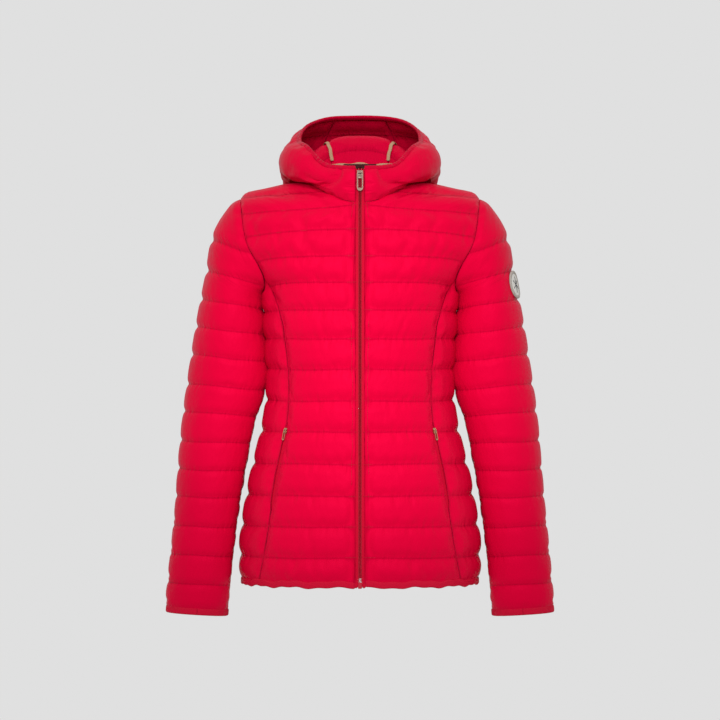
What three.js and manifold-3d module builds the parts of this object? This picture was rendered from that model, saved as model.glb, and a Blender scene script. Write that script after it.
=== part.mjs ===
// Hooded quilted down jacket, in millimetres. +Z is up, -Y is the wearer's front, +X the wearer's left.
// Heights are measured from the hem at centre front; the finished group is moved so that the middle of
// the hanger loop's underside, where a hook bears, is the origin.
import * as THREE from 'three';
import { mergeVertices } from 'three/addons/utils/BufferGeometryUtils.js';
import Module from 'manifold-3d';

const wasm = await Module();
wasm.setup();

// ---- driving dimensions ----------------------------------------------------------------------------
const FRONT_LENGTH = 588; // hem to neck seam along the centre front
const CHIN_HEIGHT = 49; // neck seam to the top of the zip
const ZIP_HEM_Y = -130; // the zip is one straight line from here
const ZIP_NECK_Y = -106; // to here at the neck seam
const HEM_HALF_WIDTH = 186;
const WAIST_HALF_WIDTH = 143;
const CHEST_HALF_WIDTH = 152;
const SHOULDER_HALF_WIDTH = 186;
const NECK_HALF_WIDTH = 76;
const NECK_BACK_DEPTH = 52;
const PADDING = 10; // thickness of a quilted body panel
const SLEEVE_PADDING = 9;
const HOOD_PADDING = 8;
const BINDING_HEIGHT = 9; // elastic binding at the hem and the cuffs
const SEAM_GAP = 0.5; // between two panels at a seam
const CLEARANCE = 0.35; // between trim and what it is sewn to

// Body sections from the hem (0) to the neck seam (10). The lower six stand at shares of the height of
// the seventh at centre front, and the heights of the upper five are measured from the front neck seam:
// at the side and the back they rise over the shoulder.
const CHEST_BELOW_NECK = 130;
const LOWER_SHARES = [0, 0.15284, 0.34934, 0.54585, 0.69869, 0.87336];
const LOWER_HEIGHTS = LOWER_SHARES.map((share) => share * (FRONT_LENGTH - CHEST_BELOW_NECK));
const heights = (...fromNeck) => [...LOWER_HEIGHTS, ...fromNeck.map((height) => FRONT_LENGTH + height)];
const BODY = {
  front: heights(-CHEST_BELOW_NECK, -80, -43, -20, 0),
  side: heights(-126, -56, 8, 26, 36),
  back: heights(-123, -53, 0, 32, 54),
  halfWidth: [HEM_HALF_WIDTH, 186, 172, 151, WAIST_HALF_WIDTH, 148, CHEST_HALF_WIDTH + 2, 200,
    SHOULDER_HALF_WIDTH, 132, NECK_HALF_WIDTH],
  backDepth: [110, 112, 106, 95, 92, 102, 112, 108, 92, 74, NECK_BACK_DEPTH],
  roundness: [2.3, 2.3, 2.3, 2.3, 2.3, 2.4, 2.4, 2.4, 2.3, 2.1, 2],
};
const NECK_LEVEL = 10;
const LEVEL_HEIGHT = 80; // about how far apart the lower sections are

// The armhole is an ellipse on the body's surface, measured in section numbers and degrees about 90.
const ARMHOLE = { level: 6.9, halfLevels: 1.1, halfAngle: 32 };
const ARMHOLE_STEPS = 16;
const PRINCESS_STEP = -45; // where the princess seams run into the armhole, degrees round it
const SHOULDER_STEP = 90;

// Degrees from centre front (or centre back) of the princess seams at sections 0 to 5
const FRONT_PRINCESS = [56, 48.5, 47, 46, 48.5, 51];
const BACK_PRINCESS = [42, 40, 40, 42, 46, 52];

// Sleeve sections below the armhole: gap from the body, width, heights of the inner and outer points
// from the front neck seam, middle depth and half depth. The left sleeve is described; the right one is
// its mirror image.
const SLEEVE = [
  { gap: 5.4, width: 70, rise: [-152, -58], y: 4, halfDepth: 63 },
  { gap: 7.8, width: 91, rise: [-198, -149], y: 4, halfDepth: 61 },
  { gap: 5.7, width: 116, rise: [-278, -263], y: 3, halfDepth: 55 },
  { gap: 9.9, width: 112, rise: [-353, -348], y: 0, halfDepth: 49 },
  { gap: 5.2, width: 103, rise: [-448, -443], y: -5, halfDepth: 44 },
  { gap: 6, width: 101, rise: [-543, -540], y: -11, halfDepth: 38 },
  { gap: 16, width: 100, rise: [-638, -631], y: -17, halfDepth: 32 },
];
const SLEEVE_LEVELS = 10;

// The raised arm turns about this point; the sleeve's narrow neck turns inside the fixed sleeve head.
const ARM_PIVOT = { x: 185, z: FRONT_LENGTH - 68 };
const HEAD_RADIUS = 56;
const ARM_CLEARANCE = 2;
const HEAD_EDGE_BELOW_TOP = 8; // the cap's edge, below the top of the head's circle
const HEAD_EDGE_ABOVE_PIVOT = HEAD_RADIUS - HEAD_EDGE_BELOW_TOP;
const FLAP_HALF_WIDTH = 2;
const GUSSET_X = CHEST_HALF_WIDTH + 0.5; // the sleeve head closes under the arm inside this
const GUSSET_Z = FRONT_LENGTH - 156; // and above this
const NECK = [
  { inner: [160, -48], outer: [210, -30], y: 4, halfDepth: 34 },
  { inner: [156, -78], outer: [223, -62], y: 4, halfDepth: 41 },
  { inner: [158, -120], outer: [234, -102], y: 4, halfDepth: 44 },
  { inner: [164, -163], outer: [242, -147], y: 4, halfDepth: 44 },
];
const NECK_WALL = 6;

// Hood cloth, from the neck seam to the face opening: distance out from the neck seam and height above it
const HOOD_FRONT = {
  out: [0, 2, 3.5, 4.5, 5, 5, 4.5, 3.5, 2, 0],
  up: [5, 10, 15, 20, 25, 30, 35, 40, 45, CHIN_HEIGHT],
};
const HOOD_SIDE = {
  out: [1, 8, 16, 24, 32, 39, 43, 41, 33, 18],
  up: [6, 10, 12, 13, 15, 18, 27, 38, 49, 57],
};
const HOOD_BACK = {
  out: [2, 13, 26, 42, 57, 77, 100, 112, 98, 62],
  up: [5, 40, 52, 34, -18, -58, -45, 5, 56, 88],
};
const HOOD_LEVELS = 13;
const CHIN_HALF_WIDTH = 52; // the chin panels stay with the body when the hood lifts
const HOOD_CENTRE_NECK = 146; // degrees from centre front of the hood's centre panel at the neck seam
const HOOD_CENTRE_FACE = 160; // and at the face opening

// Zips
const COIL_HALF_GAP = 0.9; // slot between the two coils, in which the slider's web runs
const COIL_WIDTH = 2.2;
const COIL_THICKNESS = 2.2;
const TAPE_WIDTH = 3.2;
const TAPE_THICKNESS = 1.2;
const ZIP_OPENING = COIL_HALF_GAP + COIL_WIDTH + TAPE_WIDTH + 4 * CLEARANCE; // centre to the panel edge
const PIN_CLEARANCE = 0.3;
const SLIDER = { length: 12, width: 9, plate: 1.3, channel: 3.2, pivot: 1.6, pin: 0.55, eye: 1.4, eyeZ: 1.5 };
const SLIDER_WEB = 0.6; // share of a slider's length that its web takes
const PULL = { length: 27, width: 9.5, thickness: 1.6 };
const WAIST_SECTION = 4;
const POCKET_TOP = LOWER_HEIGHTS[WAIST_SECTION] - 74; // the hand pockets' upper end, below the waist
const POCKET_LENGTH = 130;
const POCKET_ZIP_WIDTH = 8;
const POCKET_ZIP_SINK = 5; // depth of the pocket zip's inner face below the shell
const POCKET_SLIDER = {
  length: 8, width: 5.2, plate: 1, channel: 2.2, pivot: 1.3, pin: 0.4, eye: 0.9, eyeZ: 1,
};
const POCKET_PULL = { length: 16, width: 4.2, thickness: 1.1 };
const POCKET_ZIP_SLOT = 1.6; // width of the slot in which the pocket slider's web runs
const POCKET_ZIP_END = 4; // solid length at each end of that slot
const POCKET_BAG = { width: 88, thickness: 15, wall: 1.2, below: 22, above: -4, mouth: 4, overlap: 3 };

// Trim
const NECK_TAPE = { height: 10, thickness: 1.2, from: 48, lift: 6.5, sag: 3.6 };
const HOOD_TAPE = { width: 5, thickness: 1, widthOfDegree: 1.35 };
const LOOP = { halfLength: 26, gap: 9, tape: 2.4, height: 6 };
const LABEL = { width: 30, height: 34, thickness: 0.8, depth: 8.6, below: 2 };
const BADGE = { radius: 19, thickness: 1.4, height: FRONT_LENGTH - 126 };
const BADGE_BORDER = { radius: 21, thickness: 2.2 };

// ---- materials -------------------------------------------------------------------------------------
const cloth = (colour, roughness = 0.55) => ({ color: colour, roughness, metalness: 0 });
const RED_SHELL = cloth(0xe0022f);
const RED_LINING = cloth(0xbf0520, 0.6);
const RED_TRIM = cloth(0xd90d35, 0.7);
const BEIGE_TAPE = cloth(0xbe8c6e, 0.8);
const DARK_TAPE = cloth(0x4a1a20, 0.8);
const BRONZE = { color: 0x67474a, roughness: 0.35, metalness: 1 };
const GOLD = { color: 0xc79a66, roughness: 0.3, metalness: 1 };
const PATCH_FIELD = cloth(0xe8e4dc, 0.85);
const PATCH_BORDER = cloth(0x8f8a84, 0.9);

// ---- small helpers ---------------------------------------------------------------------------------
const radians = THREE.MathUtils.degToRad;
const lerp = THREE.MathUtils.lerp;
const smoothstep = THREE.MathUtils.smoothstep;
const vec = (x, y, z) => new THREE.Vector3(x, y, z);
const signedPower = (value, exponent) => Math.sign(value) * Math.abs(value) ** exponent;
const steps = (count, from = 0, to = 1) =>
  Array.from({ length: count + 1 }, (_, i) => lerp(from, to, i / count));

/** Value at a station number of the smooth curve through evenly numbered stations. */
function curve(values, station) {
  const last = values.length - 1;
  const i = Math.min(Math.max(Math.floor(station), 0), last - 1);
  const t = station - i;
  const [a, b, c, d] = [values[Math.max(i - 1, 0)], values[i], values[i + 1], values[Math.min(i + 2, last)]];
  return b + 0.5 * t * (c - a + t * (2 * a - 5 * b + 4 * c - d + t * (3 * (b - c) + d - a)));
}

/** Outward unit normal of point(a, b), where a runs to the wearer's left and b upwards. */
function normalOf(point, a, b, stepA, stepB) {
  const alongA = point(a + stepA, b).sub(point(a - stepA, b));
  const alongB = point(a, b + stepB).sub(point(a, b - stepB));
  return alongA.cross(alongB).normalize();
}

/** Closed geometry from points and triangles, turned so that its faces point out. */
function closedGeometry(points, triangles) {
  let volume = 0;
  for (const [a, b, c] of triangles) {
    volume += points[a].dot(vec().crossVectors(points[b], points[c]));
  }
  const facing = volume > 0 ? triangles : triangles.map(([a, b, c]) => [a, c, b]);
  const geometry = new THREE.BufferGeometry();
  geometry.setAttribute('position', new THREE.Float32BufferAttribute(points.flatMap((p) => p.toArray()), 3));
  geometry.setIndex(facing.flat());
  geometry.computeVertexNormals();
  return geometry;
}

/**
 * Closed shell between two grids of points, outer[row][column] and inner[row][column].
 * A wrapped shell is a tube: its last column joins its first.
 */
function shell(outer, inner, wrapped = false) {
  const rows = outer.length;
  const columns = outer[0].length;
  const points = [...outer.flat(), ...inner.flat()];
  const id = (side, row, column) => (side * rows + row) * columns + (column % columns);
  const triangles = [];
  const quad = (a, b, c, d) => triangles.push([a, b, c], [a, c, d]);
  const across = wrapped ? columns : columns - 1;
  for (let row = 0; row < rows - 1; row++) {
    for (let column = 0; column < across; column++) {
      const next = column + 1;
      quad(id(0, row, column), id(0, row, next), id(0, row + 1, next), id(0, row + 1, column));
      quad(id(1, row, column), id(1, row + 1, column), id(1, row + 1, next), id(1, row, next));
    }
    if (!wrapped) {
      quad(id(0, row, 0), id(0, row + 1, 0), id(1, row + 1, 0), id(1, row, 0));
      quad(id(0, row, columns - 1), id(1, row, columns - 1), id(1, row + 1, columns - 1),
        id(0, row + 1, columns - 1));
    }
  }
  // neighbours share a seam, so every edge wall is split from its lower outer to its upper inner corner
  const wall = (a, b, c, d, lower) => (lower ? quad(a, b, c, d) : quad(b, c, d, a));
  for (let column = 0; column < across; column++) {
    const next = column + 1;
    const rising = (row) => outer[row][next % columns].z > outer[row][column].z;
    wall(id(0, 0, next), id(0, 0, column), id(1, 0, column), id(1, 0, next), !rising(0));
    wall(id(0, rows - 1, column), id(0, rows - 1, next), id(1, rows - 1, next), id(1, rows - 1, column),
      rising(rows - 1));
  }
  return closedGeometry(points, triangles);
}

/** Closed solid that fills a tube of rings. */
function filled(rings) {
  const count = rings[0].length;
  const centre = (ring) => ring.reduce((sum, p) => sum.add(p), vec(0, 0, 0)).divideScalar(count);
  const points = [...rings.flat(), centre(rings[0]), centre(rings.at(-1))];
  const [first, last] = [points.length - 2, points.length - 1];
  const top = (rings.length - 1) * count;
  const triangles = [];
  for (let column = 0; column < count; column++) {
    const next = (column + 1) % count;
    for (let row = 0; row < rings.length - 1; row++) {
      const [a, b] = [row * count + column, row * count + next];
      triangles.push([a, b, b + count], [a, b + count, a + count]);
    }
    triangles.push([first, next, column], [last, top + column, top + next]);
  }
  return closedGeometry(points, triangles);
}

/** A piece as a solid that can be cut and joined. */
function solid(geometry) {
  const plain = new THREE.BufferGeometry();
  plain.setAttribute('position', geometry.getAttribute('position').clone());
  if (geometry.index) plain.setIndex(geometry.index.clone());
  const merged = mergeVertices(plain, 1e-4);
  return new wasm.Manifold(new wasm.Mesh({
    numProp: 3,
    vertProperties: new Float32Array(merged.getAttribute('position').array),
    triVerts: new Uint32Array(merged.index.array),
  }));
}

/** The geometry of a solid. */
function geometryOf(body) {
  const mesh = body.getMesh();
  const geometry = new THREE.BufferGeometry();
  geometry.setAttribute('position', new THREE.BufferAttribute(new Float32Array(mesh.vertProperties), 3));
  geometry.setIndex(new THREE.BufferAttribute(new Uint32Array(mesh.triVerts), 1));
  geometry.computeVertexNormals();
  return geometry;
}

/** The same piece on the wearer's other side. */
function mirrored(geometry) {
  const other = geometryOf(solid(geometry)).scale(-1, 1, 1);
  const index = other.index.array;
  for (let i = 0; i < index.length; i += 3) [index[i + 1], index[i + 2]] = [index[i + 2], index[i + 1]];
  other.computeVertexNormals();
  return other;
}

/** Solid bar along Y, across the whole jacket, with the outline of a shape drawn in X and Z. */
function bar(shape, halfDepth = 200) {
  const geometry = new THREE.ExtrudeGeometry(shape, { depth: 2 * halfDepth, bevelEnabled: false });
  geometry.rotateX(Math.PI / 2);
  return solid(geometry.translate(0, halfDepth, 0));
}

/** Shape of a circle around the arm's pivot. */
function pivotCircle(radius) {
  return new THREE.Shape().absarc(ARM_PIVOT.x, ARM_PIVOT.z, radius, 0, 2 * Math.PI, false);
}

/** Rectangle as a shape, from its low and high corners. */
function rectangle(x0, z0, x1, z1) {
  return new THREE.Shape([[x0, z0], [x1, z0], [x1, z1], [x0, z1]].map(([x, z]) => new THREE.Vector2(x, z)));
}

function block(x, y, z, centre = [0, 0, 0]) {
  return new THREE.BoxGeometry(x, y, z).translate(...centre);
}

const jacket = new THREE.Group();
const hemFrame = new THREE.Group();
jacket.add(hemFrame);

/** Adds one named piece with its own material. */
function add(name, geometry, material, parent = hemFrame) {
  const mesh = new THREE.Mesh(geometry, new THREE.MeshStandardMaterial(material));
  mesh.name = name;
  parent.add(mesh);
  return mesh;
}

/** Adds a piece of the wearer's left side and its mirror image on the right. */
function addPair(name, geometry, material) {
  add(`${name}_left`, geometry, material);
  add(`${name}_right`, mirrored(geometry), material);
}

// ---- body surface ----------------------------------------------------------------------------------
const zipY = (height) => lerp(ZIP_HEM_Y, ZIP_NECK_Y, height / FRONT_LENGTH);

/** Point of the body's outer surface, at an angle in degrees from centre front and a section number. */
function bodyPoint(angle, level) {
  const sine = Math.sin(radians(angle));
  const cosine = Math.cos(radians(angle));
  const frontHeight = curve(BODY.front, level);
  const sideHeight = curve(BODY.side, level);
  const endHeight = cosine > 0 ? frontHeight : curve(BODY.back, level);
  const depth = cosine > 0 ? -zipY(frontHeight) : curve(BODY.backDepth, level);
  const exponent = 2 / curve(BODY.roundness, level);
  return vec(
    curve(BODY.halfWidth, level) * signedPower(sine, exponent),
    -depth * signedPower(cosine, exponent),
    lerp(sideHeight, endHeight, cosine ** 2),
  );
}

const bodyNormal = (angle, level) => normalOf(bodyPoint, angle, level, 1.5, 0.02);

/** Angle in degrees at which the body surface is at a distance from the middle. */
function angleAtX(x, level) {
  const share = x / curve(BODY.halfWidth, level);
  return THREE.MathUtils.radToDeg(Math.asin(share ** (curve(BODY.roundness, level) / 2)));
}

/** Section number on the side of the body that lies at a height, below the armhole. */
function levelAtHeight(height) {
  let [low, high] = [0, 6];
  while (high - low > 1e-6) {
    const middle = (low + high) / 2;
    if (curve(BODY.front, middle) < height) low = middle;
    else high = middle;
  }
  return low;
}

/** Angle and section number of the armhole's edge; step runs -90 at the armpit, 0 at the front, 90 on top. */
const armholeLevel = (step) => ARMHOLE.level + ARMHOLE.halfLevels * Math.sin(radians(step));
const armholeAngle = (step) => 90 - ARMHOLE.halfAngle * Math.cos(radians(step));

/** Shell of the body between angle and section limits, from points [angle, level] in rows. */
function bodyShell(grid, depthOut = 0, thickness = PADDING) {
  const move = (distance) => grid.map((row) => row.map(
    ([angle, level]) => bodyPoint(angle, level).addScaledVector(bodyNormal(angle, level), distance),
  ));
  return shell(move(-depthOut), move(-depthOut - thickness));
}

const STEP = 360 / ARMHOLE_STEPS;
const BINDING_LEVEL = levelAtHeight(BINDING_HEIGHT);
const PRINCESS_LEVEL = armholeLevel(PRINCESS_STEP);
const LOWER_ROWS = steps(8, BINDING_LEVEL + 0.01, PRINCESS_LEVEL);
const ARMHOLE_ROWS = Array.from({ length: (SHOULDER_STEP - PRINCESS_STEP) / STEP }, (_, i) =>
  PRINCESS_STEP + (i + 1) * STEP);
const YOKE_ROWS = steps(3, armholeLevel(SHOULDER_STEP), NECK_LEVEL).slice(1);

/** Angle of a princess seam, which runs straight into the armhole above its last given section. */
function princessAngle(values, level) {
  const last = values.length - 1;
  if (level <= last) return curve(values, level);
  return lerp(values[last], armholeAngle(PRINCESS_STEP), (level - last) / (PRINCESS_LEVEL - last));
}

/** Half a seam's gap as an angle, at a section. */
const seamAngle = (level) => THREE.MathUtils.radToDeg(SEAM_GAP / 2 / curve(BODY.halfWidth, level));

/** Outer limit of a front or back panel at each of its rows: princess seam, armhole, shoulder seam. */
function panelLimits(princess) {
  return [
    ...LOWER_ROWS.map((level) => [princessAngle(princess, level), level]),
    ...ARMHOLE_ROWS.map((step) => [armholeAngle(step), armholeLevel(step)]),
    ...YOKE_ROWS.map((level) => [90, level]),
  ].map(([angle, level]) => [angle - seamAngle(level), level]);
}

/** Front panel: from the zip to the princess seam, the armhole and the shoulder. */
function frontPanel() {
  return bodyShell(panelLimits(FRONT_PRINCESS).map(([limit, level]) =>
    steps(5, angleAtX(ZIP_OPENING, level), limit).map((angle) => [angle, level])));
}

/** Back panel, in one piece across both sides. */
function backPanel() {
  return bodyShell(panelLimits(BACK_PRINCESS).map(([limit, level]) =>
    steps(8, 180 - limit, 180 + limit).map((angle) => [angle, level])));
}

/** Side panel below the armhole, from a princess seam to the side seam. */
function sidePanel(princess, mirroredAngle) {
  const columns = steps((PRINCESS_STEP + 90) / STEP, PRINCESS_STEP, -90);
  const angleAtTop = columns.map(armholeAngle);
  const share = angleAtTop.map((angle) => (angle - angleAtTop[0]) / (90 - angleAtTop[0]));
  const grid = LOWER_ROWS.map((seamLevel) => columns.map((step, i) => {
    const climb = (seamLevel - LOWER_ROWS[0]) / (PRINCESS_LEVEL - LOWER_ROWS[0]);
    const level = lerp(LOWER_ROWS[0], armholeLevel(step), climb);
    const gap = seamAngle(level);
    const angle = lerp(princessAngle(princess, seamLevel) + gap, 90 - gap, share[i]);
    return [mirroredAngle ? 180 - angle : angle, level];
  }));
  return bodyShell(grid);
}

/** Hem binding, a band round the lower edge that is open at the zip. */
function hemBinding() {
  const levels = [0, BINDING_LEVEL / 2, BINDING_LEVEL - 0.01];
  return bodyShell(levels.map((level) => {
    const start = angleAtX(ZIP_OPENING, level);
    return steps(28, start, 360 - start).map((angle) => [angle, level]);
  }), 1.5, PADDING - 3);
}

// ---- hand pockets ----------------------------------------------------------------------------------
/** Frame of the wearer's left pocket zip: its middle, and its directions across, inwards and up. */
function pocketFrame() {
  const end = (height) => {
    const level = levelAtHeight(height);
    const angle = princessAngle(FRONT_PRINCESS, level);
    return { point: bodyPoint(angle, level), normal: bodyNormal(angle, level) };
  };
  const [top, bottom] = [end(POCKET_TOP), end(POCKET_TOP - POCKET_LENGTH)];
  const up = top.point.clone().sub(bottom.point).normalize();
  const outward = top.normal.clone().add(bottom.normal).normalize();
  const across = outward.clone().negate().cross(up).normalize();
  const inward = up.clone().cross(across).normalize();
  const middle = top.point.clone().add(bottom.point).multiplyScalar(0.5);
  return { middle, basis: new THREE.Matrix4().makeBasis(across, inward, up).setPosition(middle) };
}

const POCKET = pocketFrame();

/** A geometry that was made in the pocket zip's frame, placed on the jacket. */
const atPocket = (geometry) => geometry.applyMatrix4(POCKET.basis);

/** Slot through the panels in which a pocket zip sits. */
function pocketCut() {
  const width = POCKET_ZIP_WIDTH + 2 * CLEARANCE;
  return solid(atPocket(block(width, 60, POCKET_LENGTH + 2 * CLEARANCE)));
}

/** Pocket zip: two coils on their tape, joined at the ends, with a slot for the slider. */
function pocketZip() {
  const [halfWidth, halfLength] = [POCKET_ZIP_WIDTH / 2, POCKET_LENGTH / 2];
  const outline = rectangle(-halfWidth, -halfLength, halfWidth, halfLength);
  const slotHalf = halfLength - POCKET_ZIP_END;
  outline.holes.push(rectangle(-POCKET_ZIP_SLOT / 2, -slotHalf, POCKET_ZIP_SLOT / 2, slotHalf));
  const plate = new THREE.ExtrudeGeometry(outline, { depth: TAPE_THICKNESS, bevelEnabled: false });
  return atPocket(plate.rotateX(Math.PI / 2).translate(0, POCKET_ZIP_SINK, 0));
}

/** Pocket bag: a flat pouch inside the front panel, open at the pocket zip. */
function pocketBag() {
  const top = levelAtHeight(POCKET_TOP + POCKET_BAG.above);
  const bottom = levelAtHeight(POCKET_TOP - POCKET_LENGTH - POCKET_BAG.below);
  const pouch = (inset, mouth) => bodyShell(
    steps(6, bottom + inset / LEVEL_HEIGHT, top - inset / LEVEL_HEIGHT).map((level) => {
      const x = bodyPoint(princessAngle(FRONT_PRINCESS, level), level).x;
      const near = angleAtX(x + POCKET_BAG.overlap + mouth, level);
      const far = angleAtX(x - POCKET_BAG.width + inset, level);
      return steps(5, far, near).map((angle) => [angle, level]);
    }),
    PADDING + 3.5 * CLEARANCE + inset,
    POCKET_BAG.thickness - 2 * inset,
  );
  return geometryOf(solid(pouch(0, 0)).subtract(solid(pouch(POCKET_BAG.wall, POCKET_BAG.mouth))));
}

// ---- sleeves ---------------------------------------------------------------------------------------
/** Ring of points round a sleeve section; the first is at the front and the next ones go up. */
function sleeveRing(section) {
  const [ix, iz] = section.inner;
  const [ox, oz] = section.outer;
  const middle = FRONT_LENGTH + (iz + oz) / 2;
  return steps(ARMHOLE_STEPS, 0, 360).slice(0, -1).map((step) => {
    const rise = Math.sin(radians(step));
    return vec(
      (ix + ox + (ox - ix) * rise) / 2,
      section.y - section.halfDepth * Math.cos(radians(step)),
      middle + (oz - iz) * rise / 2,
    );
  });
}

/** Sleeve section that hangs beside the body, with its inner point a gap away. */
function hanging({ gap, width, rise: [inner, outer], ...rest }) {
  const x = curve(BODY.halfWidth, levelAtHeight(Math.max(FRONT_LENGTH + inner, 0))) + gap;
  return { inner: [x, inner], outer: [x + width, outer], ...rest };
}

/** Armhole edge as a ring, on the body's outer face or a depth below it. */
function armholeRing(depth) {
  return steps(ARMHOLE_STEPS, 0, 360).slice(0, -1).map((step) => {
    const front = armholeAngle(step);
    const level = armholeLevel(step);
    return bodyPoint(front, level).addScaledVector(bodyNormal(front, level), -depth);
  });
}

/** Rings on the smooth surface through the given ones. */
function between(rings, count) {
  return steps(count, 0, rings.length - 1).map((station) => rings[0].map((_, i) => vec(
    curve(rings.map((ring) => ring[i].x), station),
    curve(rings.map((ring) => ring[i].y), station),
    curve(rings.map((ring) => ring[i].z), station),
  )));
}

/** The same tube of rings with its wall moved inwards. */
function thinner(rings, distance) {
  return rings.map((ring, row) => ring.map((point, i) => {
    const count = ring.length;
    const around = ring[(i + 1) % count].clone().sub(ring[(i + count - 1) % count]);
    const along = rings[Math.min(row + 1, rings.length - 1)][i].clone().sub(rings[Math.max(row - 1, 0)][i]);
    return point.clone().addScaledVector(around.cross(along).normalize(), distance);
  }));
}

const OUTWARD = vec(1, 0, -0.25).normalize();
const HEAD_RINGS = between([
  armholeRing(0).map((p) => p.addScaledVector(OUTWARD, SEAM_GAP)),
  ...SLEEVE.map(hanging).map(sleeveRing),
], SLEEVE_LEVELS);
const HEAD_INNER = [
  armholeRing(PADDING).map((p) => p.addScaledVector(OUTWARD, SEAM_GAP)),
  ...thinner(HEAD_RINGS, SLEEVE_PADDING).slice(1),
];

/** Everything on one side of a height, near the left arm. */
const above = (height) => bar(rectangle(0, height, 400, 900));
const below = (height) => bar(rectangle(0, -200, 400, height));

/** Fixed sleeve head: the cap over the shoulder, two flaps that cover the sleeve's neck, and the gusset. */
function sleeveHead() {
  const whole = solid(shell(HEAD_RINGS, HEAD_INNER, true));
  const cap = whole.intersect(above(ARM_PIVOT.z + HEAD_EDGE_ABOVE_PIVOT));
  const flapZone = bar(pivotCircle(HEAD_RADIUS))
    .intersect(bar(rectangle(0, 0, ARM_PIVOT.x + FLAP_HALF_WIDTH, 900)))
    .add(bar(rectangle(0, GUSSET_Z, GUSSET_X, ARM_PIVOT.z)));
  return geometryOf(cap.add(whole.intersect(flapZone)));
}

/** Moving sleeve: the tube to the cuff and the narrow neck that turns inside the sleeve head. */
function sleeve() {
  const edge = ARM_PIVOT.z + HEAD_EDGE_ABOVE_PIVOT - ARM_CLEARANCE;
  const inside = HEAD_RADIUS + ARM_CLEARANCE;
  const cuffRow = HEAD_RINGS.length - 1;
  const shorten = (rings) => [...rings.slice(0, cuffRow), rings[cuffRow].map((p, i) =>
    p.clone().lerp(rings[cuffRow - 1][i], BINDING_HEIGHT / p.distanceTo(rings[cuffRow - 1][i])))];
  const outer = shorten(HEAD_RINGS);
  const inner = shorten(HEAD_INNER);
  const neckOuter = between(NECK.map(sleeveRing), 8);
  const neckInner = solid(filled(extended(thinner(neckOuter, NECK_WALL))));
  const lower = below(ARM_PIVOT.z).subtract(bar(rectangle(0, GUSSET_Z, GUSSET_X + SEAM_GAP, ARM_PIVOT.z)));
  const tube = solid(shell(outer, inner, true)).intersect(lower).subtract(bar(pivotCircle(inside)));
  const collar = solid(filled(outer)).intersect(lower)
    .intersect(bar(pivotCircle(inside + SLEEVE_PADDING))).subtract(bar(pivotCircle(inside)));
  const neck = solid(filled(neckOuter)).intersect(below(edge)).intersect(bar(pivotCircle(inside + 3)));
  return geometryOf(tube.add(collar).add(neck).subtract(neckInner));
}

/** The same rings, with both ends moved on by a few millimetres. */
function extended(rings) {
  const beyond = (end, before) => end.map((p, i) =>
    p.clone().multiplyScalar(1.4).addScaledVector(before[i], -0.4));
  return [beyond(rings[0], rings[1]), ...rings.slice(1, -1), beyond(rings.at(-1), rings.at(-2))];
}

/** Elastic binding round the cuff. */
function cuffBinding() {
  const last = HEAD_RINGS.length - 1;
  const outer = thinner(HEAD_RINGS, 1.5);
  const inner = thinner(HEAD_RINGS, SLEEVE_PADDING - 1.5);
  const start = (rings) => rings[last].map((p, i) => {
    const share = (BINDING_HEIGHT - SEAM_GAP) / HEAD_RINGS[last][i].distanceTo(HEAD_RINGS[last - 1][i]);
    return p.clone().lerp(rings[last - 1][i], share);
  });
  return shell([start(outer), outer[last]], [start(inner), inner[last]], true);
}

/** Frame on the outer front of the left sleeve that faces along the sleeve's normal. */
function badgeFrame() {
  const point = (column, row) => HEAD_RINGS[Math.floor(row)][column].clone()
    .lerp(HEAD_RINGS[Math.floor(row) + 1][column], row - Math.floor(row));
  const column = 3;
  let row = 1;
  while (point(column, row).z > BADGE.height) row += 0.02;
  const centre = point(column, row);
  const down = point(column, row + 0.5).sub(point(column, row - 0.5)).normalize();
  const around = point(column + 1, row).sub(point(column - 1, row)).normalize();
  const outward = down.clone().cross(around).normalize();
  if (outward.x < 0) outward.negate();
  const up = down.clone().negate();
  const across = up.clone().cross(outward).normalize();
  return new THREE.Matrix4().makeBasis(across, up, outward)
    .setPosition(centre.addScaledVector(outward, CLEARANCE));
}

// ---- hood ------------------------------------------------------------------------------------------
/** Middle surface of the hood's cloth, at an angle from centre front and 0 to 1 from neck to face. */
function hoodPoint(angle, share) {
  const turned = angle > 180 ? 360 - angle : angle;
  const neck = bodyPoint(turned, NECK_LEVEL);
  const toSide = smoothstep(turned, 20, 82);
  const toBack = smoothstep(turned, 92, 168);
  const station = share * (HOOD_BACK.out.length - 1);
  const value = (key) => lerp(
    lerp(curve(HOOD_FRONT[key], station), curve(HOOD_SIDE[key], station), toSide),
    curve(HOOD_BACK[key], station),
    toBack,
  );
  const outward = vec(Math.sin(radians(turned)), -Math.cos(radians(turned)) * 0.85, 0).normalize();
  const lean = turned < 90 ? lerp(0, (ZIP_NECK_Y - ZIP_HEM_Y) / FRONT_LENGTH, Math.cos(radians(turned))) : 0;
  const point = neck.addScaledVector(outward, value('out')).add(vec(0, value('up') * lean, value('up')));
  return angle > 180 ? point.setX(-point.x) : point;
}

const hoodNormal = (angle, share) => normalOf(hoodPoint, angle, share, 1, 0.01);

/** Angle in degrees at which the hood's cloth is at a distance from the middle, at the front. */
function hoodAngleAtX(x, share) {
  let [low, high] = [0, 90];
  while (high - low > 1e-6) {
    const middle = (low + high) / 2;
    if (hoodPoint(middle, share).x < x) low = middle;
    else high = middle;
  }
  return low;
}

/** Panel of the hood between two limits, each a function of the share from neck to face. */
function hoodPanel(from, to, columns, endShare = 1) {
  const grid = steps(HOOD_LEVELS, 0, endShare).map((share) =>
    steps(columns, from(share), to(share)).map((angle) => [angle, share]));
  return hoodLayer(grid, HOOD_PADDING / 2, -HOOD_PADDING / 2);
}

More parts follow.
